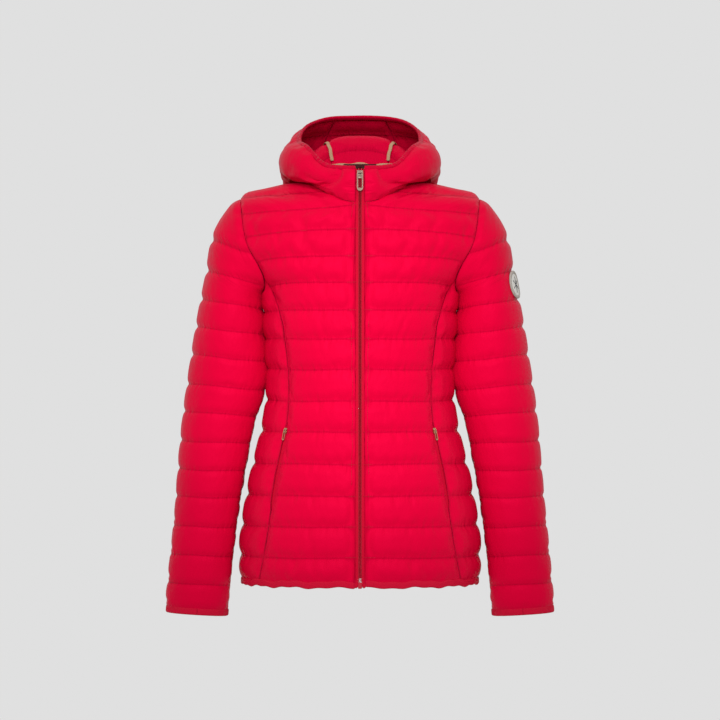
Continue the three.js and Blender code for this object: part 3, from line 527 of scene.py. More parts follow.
@dataclass(frozen=True)
class Felt(Finish):
    """Dense embroidered ground with short slanting threads."""

    def material(self) -> bpy.types.Material:
        """Builds the material."""
        nodes, shader, place = self.begin()
        twill = nodes.add("ShaderNodeTexWave", Vector=place.outputs["Object"], Scale=340.0, Distortion=1.5,
                          Detail=3.0, set_bands_direction="DIAGONAL").outputs[1]
        nodes.put(shader.inputs["Base Color"], nodes.mix(twill, self.scaled(0.78), self.scaled(1.08)))
        shader.inputs["Specular IOR Level"].default_value = 0.2
        nodes.put(shader.inputs["Normal"], nodes.bump(twill, 0.0002, 0.8))
        return nodes.material


RED: Rgb = (0.5, 0.0004, 0.0245)


class Wardrobe:
    """Every finish of the jacket, made once."""

    def __init__(self) -> None:
        """Makes the materials."""
        self.shell = DownproofNylon("red_shell_nylon", RED, 0.46).material()
        self.lining = DownproofNylon("red_lining_nylon", (0.4, 0.0006, 0.016), 0.42, 0.35, 0.1).material()
        self.trim = RibbedElastic("red_elastic_binding", (0.49, 0.0005, 0.024), 0.6).material()
        self.zip_tape = WovenTape("red_zip_tape", (0.47, 0.0006, 0.02), 0.8, 1.6).material()
        self.coil = Thread("red_nylon_coil", (0.36, 0.0006, 0.015), 0.6).material()
        self.thread = Thread("red_thread", (0.36, 0.0006, 0.014), 0.7).material()
        self.beige = WovenTape("beige_tape", (0.42, 0.25, 0.15), 0.8).material()
        self.dark = WovenTape("dark_tape", (0.06, 0.012, 0.014), 0.7).material()
        self.bronze = CastMetal("antique_bronze", (0.075, 0.05, 0.04), 0.4, (0.24, 0.17, 0.13)).material()
        self.gold = CastMetal("pale_gold", (0.5, 0.34, 0.2), 0.34, (0.6, 0.48, 0.34)).material()
        self.patch = Felt("off_white_ground", (0.6, 0.58, 0.54), 0.8).material()
        self.border = Thread("grey_beige_thread", (0.3, 0.27, 0.24), 0.7).material()
        self.ink = Thread("dark_thread", (0.02, 0.022, 0.03), 0.6).material()


# ---- surfaces ----------------------------------------------------------------------------------------
@dataclass(frozen=True)
class Torso:
    """Outer surface of the body, from the hem (section 0) to the neck seam (section 10)."""

    front: tuple[float, ...] = (0, 70, 160, 250, 320, 400, 458, 508, 545, 568, 588)
    side: tuple[float, ...] = (0, 70, 160, 250, 320, 400, 462, 532, 596, 614, 624)
    back: tuple[float, ...] = (0, 70, 160, 250, 320, 400, 465, 535, 588, 620, 642)
    half_width: tuple[float, ...] = (186, 186, 172, 151, 143, 148, 154, 200, 186, 132, 76)
    back_depth: tuple[float, ...] = (110, 112, 106, 95, 92, 102, 112, 108, 92, 74, 52)
    roundness: tuple[float, ...] = (2.3, 2.3, 2.3, 2.3, 2.3, 2.4, 2.4, 2.4, 2.3, 2.1, 2)
    zip_hem_y: float = -130
    zip_neck_y: float = -106
    neck_level: float = 10

    def zip_y(self, height: Array) -> Array:
        """Depth of the centre front at a height."""
        return self.zip_hem_y + (self.zip_neck_y - self.zip_hem_y) * height / self.front[-1]

    def point(self, angle: Array, level: Array) -> Array:
        """Point at an angle in degrees from centre front and a section number."""
        angle, level = np.broadcast_arrays(np.asarray(angle, float), np.asarray(level, float))
        sine, cosine = np.sin(np.radians(angle)), np.cos(np.radians(angle))
        front = curve(self.front, level)
        end = np.where(cosine > 0, front, curve(self.back, level))
        depth = np.where(cosine > 0, -self.zip_y(front), curve(self.back_depth, level))
        exponent = 2 / curve(self.roundness, level)
        side = curve(self.side, level)
        return np.stack([
            curve(self.half_width, level) * signed_power(sine, exponent),
            -depth * signed_power(cosine, exponent),
            side + (end - side) * cosine ** 2,
        ], -1)

    def normal(self, angle: Array, level: Array) -> Array:
        """Outward unit normal."""
        a = self.point(angle + 1.5, level) - self.point(angle - 1.5, level)
        b = self.point(angle, level + 0.02) - self.point(angle, level - 0.02)
        return unit(np.cross(a, b))

    def level_at(self, angle: Array, height: Array) -> Array:
        """Section number that lies at a height, at an angle."""
        angle, height = np.broadcast_arrays(np.asarray(angle, float), np.asarray(height, float))
        low, high = np.full(angle.shape, -0.2), np.full(angle.shape, self.neck_level + 0.05)
        low, high = halved(lambda level: self.point(angle, level)[..., 2] < height, low, high, FINE_HALVINGS)
        return (low + high) / 2

    def angle_at_x(self, x: float, level: Array) -> Array:
        """Angle in front at which the surface is at a distance from the middle."""
        share = x / curve(self.half_width, level)
        return np.degrees(np.arcsin(np.clip(share, 0, 1) ** (curve(self.roundness, level) / 2)))


@dataclass(frozen=True)
class Armhole:
    """Armhole: an ellipse on the torso in section numbers and degrees about the side."""

    level: float = 6.9
    half_levels: float = 1.1
    half_angle: float = 32
    princess_step: float = -45

    def place(self, step: Array) -> tuple[Array, Array]:
        """Angle and section number; step runs -90 at the armpit, 0 in front, 90 on top, 180 behind."""
        turn = np.radians(step)
        return 90 - self.half_angle * np.cos(turn), self.level + self.half_levels * np.sin(turn)


@dataclass(frozen=True)
class RowDrop:
    """How far the stitched rows of the chest drop from the centre front to the sides."""

    amount: float = 15
    start: float = 395
    full: float = 550

    def drop(self, row: Array) -> Array:
        """Drop at the side of a row, named by its height at the centre front."""
        return self.amount * smoothstep(row, self.start, self.full)

    def height(self, angle: Array, row: Array) -> Array:
        """Height of a row at an angle from centre front."""
        folded = np.minimum(np.abs(angle), 90) / 75
        return row - self.drop(row) * np.minimum(folded, 1) ** 1.5

    def row(self, angle: Array, height: Array) -> Array:
        """Row that passes a point of given angle and height."""
        return row_through(height, lambda row: self.height(angle, row))


TORSO = Torso()
ARMHOLE = Armhole()
ROWS = RowDrop()
FRONT_PRINCESS = (56, 48.5, 47, 46, 48.5, 51)
BACK_PRINCESS = (42, 40, 40, 42, 46, 52)
BODY_ROWS = (46, 93, 140, 188, 237, 284, 332, 378, 422, 464, 504, 545, 582, 612)
BINDING = 9.0  # height of the bindings
ZIP_OPENING = 6.4  # centre front to a panel's edge
STITCH_LIFT = 0.25  # middle of the stitches above the cloth
SEAM_OVERLAP = 0.02  # degrees by which neighbouring panels differ from their seam


def princess_angle(values: Sequence[float], level: Array) -> Array:
    """Angle of a princess seam; above its last section it runs straight into the armhole."""
    last = len(values) - 1
    top_angle, top_level = ARMHOLE.place(ARMHOLE.princess_step)
    share = (np.asarray(level, float) - last) / (top_level - last)
    above = values[-1] + (top_angle - values[-1]) * share
    return np.where(level <= last, curve(values, np.minimum(level, last)), above)


# ---- filling -----------------------------------------------------------------------------------------
@dataclass
class Quilt:
    """A quilted sheet as a grid of points, with the rows and columns at which it is stitched down."""

    name: str
    base: Array  # rows by columns by 3, on the pattern's surface
    normal: Array
    stitched: Array  # 1 where it is stitched down, rows by columns
    crown: Array  # 0 at stitches to 1 between them
    cloth: Array  # cloth coordinates in millimetres
    seam_depth: Array  # of the stitching below the pattern's surface, rows by columns
    loft: float = 6.2  # how far the filling stands above the stitching at most
    pressure: Array | None = None
    filled: Array | None = None  # outer sheet once it is filled


@dataclass
class Down:
    """Fills quilted sheets by cloth simulation: stitching is pinned and pressure swells the rest."""

    scale: float = 0.02  # simulated at this size, in metres to a millimetre
    frames: int = 18
    pressure: float = 1.3
    growth: float = 0.06
    quality: int = 5
    mass: float = 0.3
    air_damping: float = 1.0
    stretch_stiffness: float = 15
    shear_stiffness: float = 5
    bending_stiffness: float = 0.5
    quilts: list[Quilt] = field(default_factory=list)

    def add(self, quilt: Quilt) -> Quilt:
        """Queues a sheet."""
        self.quilts.append(quilt)
        return quilt

    def start(self, quilt: Quilt) -> Array:
        """A quilt's sheet before it is filled: on the stitching, with a low uneven crown."""
        columns, rows = quilt.cloth[..., 0], quilt.cloth[..., 1]
        uneven = 1 + 0.35 * waves(columns / 22, rows / 60, letter_sum(quilt.name))
        return quilt.base + quilt.normal * (quilt.crown * 1.6 * uneven - quilt.seam_depth)[..., None]

    def sheet(self, quilt: Quilt) -> bpy.types.Object:
        """Cloth sheet of a quilt, pinned at its stitching and ready to swell."""
        rows, columns = quilt.crown.shape
        points, faces = self.start(quilt).reshape(-1, 3), quads(rows, columns)
        mesh = bpy.data.meshes.new(f"sheet_{quilt.name}")
        mesh.from_pydata((points * self.scale).tolist(), [], faces.tolist())
        sheet = bpy.data.objects.new(f"sheet_{quilt.name}", mesh)
        bpy.context.scene.collection.objects.link(sheet)
        mesh.update()
        centre = len(faces) // 2
        outward = quilt.normal.reshape(-1, 3)[faces[centre][0]]
        if float(np.dot(np.array(mesh.polygons[centre].normal), outward)) < 0:
            mesh.flip_normals()
        held = sheet.vertex_groups.new(name="held")
        held.add([int(i) for i in np.flatnonzero(quilt.stitched.ravel() > 0)], 1.0, "REPLACE")
        cloth = sheet.modifiers.new("down", "CLOTH")
        settings = cloth.settings
        settings.quality = self.quality
        settings.mass = self.mass
        settings.air_damping = self.air_damping
        settings.tension_stiffness = settings.compression_stiffness = self.stretch_stiffness
        settings.shear_stiffness = self.shear_stiffness
        settings.bending_stiffness = self.bending_stiffness
        settings.vertex_group_mass = "held"
        settings.use_pressure = True
        settings.uniform_pressure_force = self.pressure
        settings.shrink_min = -self.growth
        settings.effector_weights.gravity = 0
        if quilt.pressure is not None:
            force = sheet.vertex_groups.new(name="filled")
            for i, weight in enumerate(quilt.pressure.ravel()):
                force.add([i], float(weight), "REPLACE")
            settings.vertex_group_pressure = "filled"
        cloth.point_cache.frame_start, cloth.point_cache.frame_end = 1, self.frames
        return sheet

    def fill(self) -> None:
        """Fills every queued sheet."""
        scene = bpy.context.scene
        sheets = [self.sheet(quilt) for quilt in self.quilts]
        for number in range(1, self.frames + 1):
            scene.frame_set(number)
        depsgraph = bpy.context.evaluated_depsgraph_get()
        for quilt, sheet in zip(self.quilts, sheets):
            swollen = sheet.evaluated_get(depsgraph)
            mesh = swollen.to_mesh()
            flat = np.zeros(len(mesh.vertices) * 3)
            mesh.vertices.foreach_get("co", flat)
            swollen.to_mesh_clear()
            points = flat.reshape(quilt.base.shape) / self.scale
            moved = points - quilt.base
            rise = np.sum(moved * quilt.normal, -1)
            kept = np.clip(rise, -quilt.seam_depth - 1.0, quilt.loft - quilt.seam_depth)
            quilt.filled = points + quilt.normal * (kept - rise)[..., None]
            data = sheet.data
            bpy.data.objects.remove(sheet)
            bpy.data.meshes.remove(data)
        scene.frame_set(1)


def crown_of(stations: Array, stitched: Sequence[float]) -> Array:
    """0 at stitched stations, rising to 1 midway between neighbours."""
    marks = np.sort(np.asarray(stitched, float))
    i = np.clip(np.searchsorted(marks, stations, side="right") - 1, 0, len(marks) - 2)
    share = (stations - marks[i]) / (marks[i + 1] - marks[i])
    return np.clip(np.sin(np.pi * np.clip(share, 0, 1)), 0, 1)


def rows_between(stitched: Sequence[float], cell: float) -> tuple[Array, Array]:
    """Grid stations with the stitched ones among them.

    Args:
        stitched: stations of the stitched rows and of both ends.
        cell: wanted distance between stations.

    Returns:
        The stations, and 1 for those that are stitched.
    """
    stations: list[float] = []
    marks: list[int] = []
    for low, high in zip(stitched[:-1], stitched[1:]):
        count = max(2, round((high - low) / cell))
        stations += list(np.linspace(low, high, count, endpoint=False))
        marks += [1] + [0] * (count - 1)
    return np.array([*stations, stitched[-1]]), np.array([*marks, 1])


def edge_rise(count: int, reach: int = 3) -> Array:
    """0 at both ends of a row of points, rising to 1 within a few points."""
    near = np.minimum(np.arange(count), np.arange(count)[::-1])
    return np.sin(np.pi / 2 * np.clip(near / reach, 0, 1))


# ---- stitching ---------------------------------------------------------------------------------------
class Repeat:
    """Geometry nodes that set a small shape at every pitch along lines."""

    def __init__(self, name: str, sizes: Sequence[str], material: bpy.types.Material, shape: str) -> None:
        """Builds the tree, all but what sizes and turns the shape.

        Args:
            name: the tree's name.
            sizes: names of its inputs; the first is the pitch.
            material: the finish of the shapes.
            shape: kind of the node that makes the shape.
        """
        self.sizes = sizes
        self.tree = bpy.data.node_groups.new(name, "GeometryNodeTree")
        self.tree.interface.new_socket("Geometry", in_out="INPUT", socket_type="NodeSocketGeometry")
        for size in sizes:
            self.tree.interface.new_socket(size, in_out="INPUT", socket_type="NodeSocketFloat")
        self.tree.interface.new_socket("Geometry", in_out="OUTPUT", socket_type="NodeSocketGeometry")
        new, link = self.tree.nodes.new, self.tree.links.new
        self.given, result = new("NodeGroupInput"), new("NodeGroupOutput")
        to_curve, self.points = new("GeometryNodeMeshToCurve"), new("GeometryNodeCurveToPoints")
        self.points.mode = "LENGTH"
        self.item, self.place = new(shape), new("GeometryNodeInstanceOnPoints")
        realize, dress = new("GeometryNodeRealizeInstances"), new("GeometryNodeSetMaterial")
        dress.inputs["Material"].default_value = material
        link(self.given.outputs[0], to_curve.inputs[0])
        link(to_curve.outputs[0], self.points.inputs[0])
        link(self.given.outputs[sizes[0]], self.points.inputs["Length"])
        link(self.points.outputs["Points"], self.place.inputs["Points"])
        link(self.item.outputs["Mesh"], self.place.inputs["Instance"])
        link(self.place.outputs[0], realize.inputs[0])
        link(realize.outputs[0], dress.inputs[0])
        link(dress.outputs[0], result.inputs[0])

    def along(self, name: str, paths: Sequence[Array], sizes: Sequence[float]) -> bpy.types.Object:
        """Repeats the shape along paths.

        Args:
            name: the piece's name.
            paths: paths of pattern points.
            sizes: value of each of the tree's inputs.

        Returns:
            The piece, as a plain mesh.
        """
        points, edges = [], []
        for path in paths:
            start = len(points)
            points += to_row(path).tolist()
            edges += [(start + i, start + i + 1) for i in range(len(path) - 1)]
        mesh = bpy.data.meshes.new(f"lines_{name}")
        mesh.from_pydata(points, edges, [])
        lines = bpy.data.objects.new(f"lines_{name}", mesh)
        bpy.context.scene.collection.objects.link(lines)
        modifier = lines.modifiers.new("repeat", "NODES")
        modifier.node_group = self.tree
        sockets = {s.name: s.identifier for s in self.tree.interface.items_tree if s.in_out == "INPUT"}
        for size, value in zip(self.sizes, sizes):
            modifier[sockets[size]] = value
        return baked(lines, name)


@dataclass
class Stitching:
    """Rows of stitches along seams, one mesh for each body or pair of bodies."""

    pitch: float = 3.2
    length: float = 2.4
    radius: float = 0.3
    paths: dict[str, list[Array]] = field(default_factory=dict)

    def along(self, owner: str, path: Array) -> None:
        """Queues stitches along a path of pattern points."""
        if len(path) > 1 and np.linalg.norm(path[-1] - path[0]) > self.pitch * 2:
            self.paths.setdefault(owner, []).append(np.asarray(path, float))

    def sew(self, material: bpy.types.Material) -> dict[str, bpy.types.Object]:
        """Makes the stitches.

        Args:
            material: the thread's finish.

        Returns:
            One piece for each owner.
        """
        rows = Repeat("stitch_rows", ("Pitch", "Length", "Radius"), material, "GeometryNodeMeshCylinder")
        rows.item.inputs["Vertices"].default_value = 5
        turn = rows.tree.nodes.new("FunctionNodeAlignRotationToVector")
        turn.axis = "Z"
        link = rows.tree.links.new
        link(rows.given.outputs["Length"], rows.item.inputs["Depth"])
        link(rows.given.outputs["Radius"], rows.item.inputs["Radius"])
        link(rows.points.outputs["Tangent"], turn.inputs["Vector"])
        link(turn.outputs[0], rows.place.inputs["Rotation"])
        sizes = [size * MILLIMETRE for size in (self.pitch, self.length, self.radius)]
        return {owner: rows.along(f"stitches_{owner}", paths, sizes) for owner, paths in self.paths.items()}


def baked(source: bpy.types.Object, name: str) -> bpy.types.Object:
    """The result of an object's geometry nodes as a plain piece; the source is removed."""
    depsgraph = bpy.context.evaluated_depsgraph_get()
    mesh = bpy.data.meshes.new_from_object(source.evaluated_get(depsgraph))
    mesh.name = name
    piece = bpy.data.objects.new(name, mesh)
    bpy.context.scene.collection.objects.link(piece)
    bpy.data.objects.remove(source)
    return piece


# ---- the jacket's sub-assemblies ---------------------------------------------------------------------
@dataclass
class Workshop:
    """What every sub-assembly shares."""

    wardrobe: Wardrobe
    down: Down
    stitching: Stitching

    def dress(self, piece: bpy.types.Object, material: bpy.types.Material, slot: Slot) -> bpy.types.Object:
        """Gives a piece its finish."""
        piece.data.materials.clear()
        piece.data.materials.append(material)
        log.info("%s: %d points", piece.name, len(piece.data.vertices))
        return piece

    def pillow(self, quilt: Quilt, inner_share: float = 0.55, wall: float = 1.6) -> bpy.types.Object:
        """Closed padded piece from a filled sheet.

        Args:
            quilt: the filled sheet.
            inner_share: how much the lining swells, as a share of the shell.
            wall: thickness at the stitching.

        Returns:
            The piece, with one subdivision.
        """
        rise = np.sum((quilt.filled - quilt.base) * quilt.normal, -1) + quilt.seam_depth
        depth = quilt.seam_depth + wall + inner_share * np.maximum(rise, 0)
        inner = quilt.base - quilt.normal * depth[..., None]
        sewn = closed_layers(quilt.filled, inner, quilt.cloth, quilt.crown)
        piece = sewn.make(quilt.name)
        subdivide(piece)
        self.dress(piece, self.wardrobe.shell, Slot.SHELL)
        return piece


    def trim(self, sewn: Sewn, name: str, material: bpy.types.Material, slot: Slot,
             body: str | None = "jacket_body") -> bpy.types.Object:
        """Makes a piece that stands for the node of its own name.

        Args:
            sewn: its mesh.
            name: its name.
            material: its finish.
            slot: its slot, which is not used.
            body: the body that it rides on, or None to leave it unattached.

        Returns:
            The piece, with one subdivision.
        """
        piece = sewn.make(name)
        subdivide(piece)
        self.dress(piece, material, slot)
        if body is not None:
            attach(piece, body)
        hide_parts(name)
        return piece

    def sew_rows(self, owner: str, quilt: Quilt) -> None:
        """Queues stitches along a quilt's stitched rows, all but its ends."""
        lift = quilt.filled + quilt.normal * STITCH_LIFT
        for row in np.flatnonzero(np.all(quilt.stitched > 0, axis=1))[1:-1]:
            self.stitching.along(owner, lift[row])


@dataclass
class BodyPanels:
    """Quilted front, side and back panels of the body."""

    shop: Workshop
    cell: float = 5.2
    pocket_top: float = 246
    pocket_length: float = 130
    pocket_gap: float = 3.0
    seam_depth: float = 4.3
    quilts: dict[str, Quilt] = field(default_factory=dict)

    def pocket_opening(self, height: Array) -> Array:
        """Half width of the pocket's opening at a height, in millimetres."""
        low, high = self.pocket_top - self.pocket_length, self.pocket_top
        closing = 1 - smoothstep(height, high - 10, high + 3)
        return self.pocket_gap * smoothstep(height, low, low + 14) * closing

    def pocket_angle(self, height: Array, level: Array) -> Array:
        """Angle by which the pocket's opening moves a panel's edge."""
        return np.degrees(self.pocket_opening(height) / curve(TORSO.half_width, level)) * 1.25

    def outline(self, princess: Sequence[float], back: bool) -> tuple[Array, Array]:
        """Outer limit of a front or back panel.

        Args:
            princess: the princess seam's angles.
            back: whether the rows stay level, as on the back.

        Returns:
            Row and angle of the limit: princess seam, armhole, shoulder, and on the back the neck.
        """
        top_angle, top_level = ARMHOLE.place(ARMHOLE.princess_step)
        levels = np.linspace(0, top_level, 60)
        angles = princess_angle(princess, levels)
        heights = TORSO.point(angles, levels)[:, 2]
        if not back:
            angles = angles - self.pocket_angle(heights, levels)
        steps = np.linspace(ARMHOLE.princess_step, 90, 40)[1:]
        hole_angles, hole_levels = ARMHOLE.place(steps)
        yoke = np.linspace(hole_levels[-1], TORSO.neck_level, 20)[1:]
        angles = np.concatenate([angles, hole_angles, np.full(len(yoke), 90.0)])
        levels = np.concatenate([levels, hole_levels, yoke])
        if back:
            neck = np.linspace(90, 8, 20)[1:]
            angles = np.concatenate([angles, neck])
            levels = np.concatenate([levels, np.full(len(neck), float(TORSO.neck_level))])
            heights = TORSO.point(180 - angles, levels)[:, 2]
            return ROWS.row(90.0, heights), angles
        heights = TORSO.point(angles, levels)[:, 2]
        return ROWS.row(angles, heights), angles

    def quilt(self, name: str, rows: Sequence[float], left: Callable[[Array], Array],
              right: Callable[[Array], Array], columns: int, level_rows: bool, mirror: bool) -> Quilt:
        """Lays out one panel.

        Args:
            name: the panel's name.
            rows: its stitched rows, ends included.
            left: angle of its first edge at each row.
            right: angle of its other edge.
            columns: points across.
            level_rows: whether the rows stay level.
            mirror: whether it is the wearer's right one.

        Returns:
            The quilted sheet.
        """
        stations, marks = rows_between(rows, self.cell)
        share = np.linspace(0, 1, columns)
        a0, a1 = left(stations)[:, None], right(stations)[:, None]
        angle = a0 + (a1 - a0) * share
        row = np.broadcast_to(stations[:, None], angle.shape)
        wobble = 0.9 * waves(angle / 14, row / 90, 11) * smoothstep(row, 15, 40)
        height = ROWS.height(90.0 if level_rows else angle, row) + wobble * (1 - smoothstep(row, 570, 600))
        level = TORSO.level_at(angle, np.maximum(height, BINDING - 1))
        base, normal = TORSO.point(angle, level), TORSO.normal(angle, level)
        if mirror:
            base, normal = base * [-1, 1, 1], normal * [-1, 1, 1]
        stitched = np.broadcast_to(marks[:, None], angle.shape).copy().astype(float)
        stitched[:, 0] = stitched[:, -1] = 1
        crown = crown_of(stations, rows)[:, None] * edge_rise(columns)[None]
        cloth = np.stack([run_along(base, 1) + 300 * (letter_sum(name) % 17), row], -1)
        depth = np.full(angle.shape, self.seam_depth)
        if name.startswith("front_panel"):
            depth -= (self.seam_depth - 1.3) * (1 - smoothstep(np.abs(base[..., 0]), 7, 17))
        folded = np.where(angle > 180, 360 - angle, angle)
        under_arm = smoothstep(base[..., 2], 262, 340) * (1 - 0.3 * smoothstep(base[..., 2], 440, 470))
        beside = 1 - smoothstep(np.abs(folded - 90), 6, 30)
        depth -= (depth - 0.9) * under_arm * beside * (base[..., 2] < 450)
        hole = np.hypot((folded - 90) / ARMHOLE.half_angle, (level - ARMHOLE.level) / ARMHOLE.half_levels)
        depth -= np.maximum(depth - 1.4, 0) * (1 - smoothstep(hole, 1.0, 1.3))
        return self.shop.down.add(Quilt(name, base, normal, stitched, crown, cloth, depth))

    def lay_out(self) -> None:
        """Lays out every panel and queues it for filling."""
        rows = [BINDING, *BODY_ROWS]
        limit_row, limit_angle = self.outline(FRONT_PRINCESS, False)
        neck_angles = np.concatenate([[2.0], np.linspace(5.8, 90, 40)])
        neck_rows = ROWS.row(neck_angles, TORSO.point(neck_angles, TORSO.neck_level)[:, 2])
        front_top = float(neck_rows[-1]) - 1.2
        back_row, back_angle = self.outline(BACK_PRINCESS, True)
        back_top = float(back_row[-1]) - 0.4

        def zip_edge(row: Array) -> Array:
            """Angle of the front panel's edge beside the zip and the neck."""
            level = TORSO.level_at(3.0, np.minimum(row, TORSO.front[-1]))
            return np.where(row < neck_rows[1], TORSO.angle_at_x(ZIP_OPENING, level),
                            np.interp(row, neck_rows, neck_angles))

        def front_limit(row: Array) -> Array:
            """Angle of the front panel's outer edge."""
            return np.interp(row, limit_row, limit_angle) - SEAM_OVERLAP

        def back_limit(row: Array) -> Array:
            """Angle of the back panel's edges, from centre back."""
            return np.interp(row, back_row, back_angle) + SEAM_OVERLAP

        armhole_steps = np.linspace(-90, ARMHOLE.princess_step, 20)
        hole_angle, hole_level = ARMHOLE.place(armhole_steps)
        for side in Side:
            mirror = side is Side.RIGHT
            self.quilts[f"front_panel_{side.word}"] = self.quilt(
                f"front_panel_{side.word}", [*rows, front_top], zip_edge, front_limit, 28, False, mirror)
            for word, princess, back in (("front", FRONT_PRINCESS, False), ("back", BACK_PRINCESS, True)):
                hole = 180 - hole_angle if back else hole_angle
                heights = TORSO.point(hole, hole_level)[:, 2]
                seam_levels = np.linspace(0, hole_level[-1], 60)
                seam = princess_angle(princess, seam_levels)
                seam_at = TORSO.point(180 - seam if back else seam, seam_levels)[:, 2]
                if not back:
                    seam = seam + self.pocket_angle(seam_at, seam_levels)
                seam_row = ROWS.row(90.0 if back else seam, seam_at)
                top_row = ROWS.row(90.0 if back else hole_angle, heights)

                def inner(row: Array, rows_at: Array = seam_row, angles: Array = seam,
                          behind: bool = back) -> Array:
                    """Angle of a side panel's edge at the princess seam."""
                    found = np.interp(row, rows_at, angles) - SEAM_OVERLAP
                    return 180 - found if behind else found

                def outer(row: Array, rows_at: Array = top_row, behind: bool = back) -> Array:
                    """Angle of a side panel's edge at the side and the armhole."""
                    side_angle = np.where(row < rows_at[0], 90.0, np.interp(row, rows_at, hole_angle))
                    found = side_angle + SEAM_OVERLAP
                    return 180 - found if behind else found

                top = float(top_row[-1]) - 0.8
                mine = [r for r in rows if r < top - 14] + [top]
                name = f"side_{word}_{side.word}"
                self.quilts[name] = self.quilt(name, mine, inner, outer, 18, back, mirror)
        self.quilts["back_panel"] = self.quilt(
            "back_panel", [*rows, back_top], lambda row: 180 - back_limit(row),
            lambda row: 180 + back_limit(row), 52, True, False)

    def build(self) -> None:
        """Makes the filled panels and queues their stitches."""
        for name, quilt in self.quilts.items():
            piece = self.shop.pillow(quilt)
            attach(piece, "jacket_body")
            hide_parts(name)
            self.shop.sew_rows("jacket_body", quilt)
        for name in ("front_panel_left", "front_panel_right"):
            quilt = self.quilts[name]
            inset = quilt.filled[:, 1] + quilt.normal[:, 1] * 0.3
            self.shop.stitching.along("jacket_body", inset)


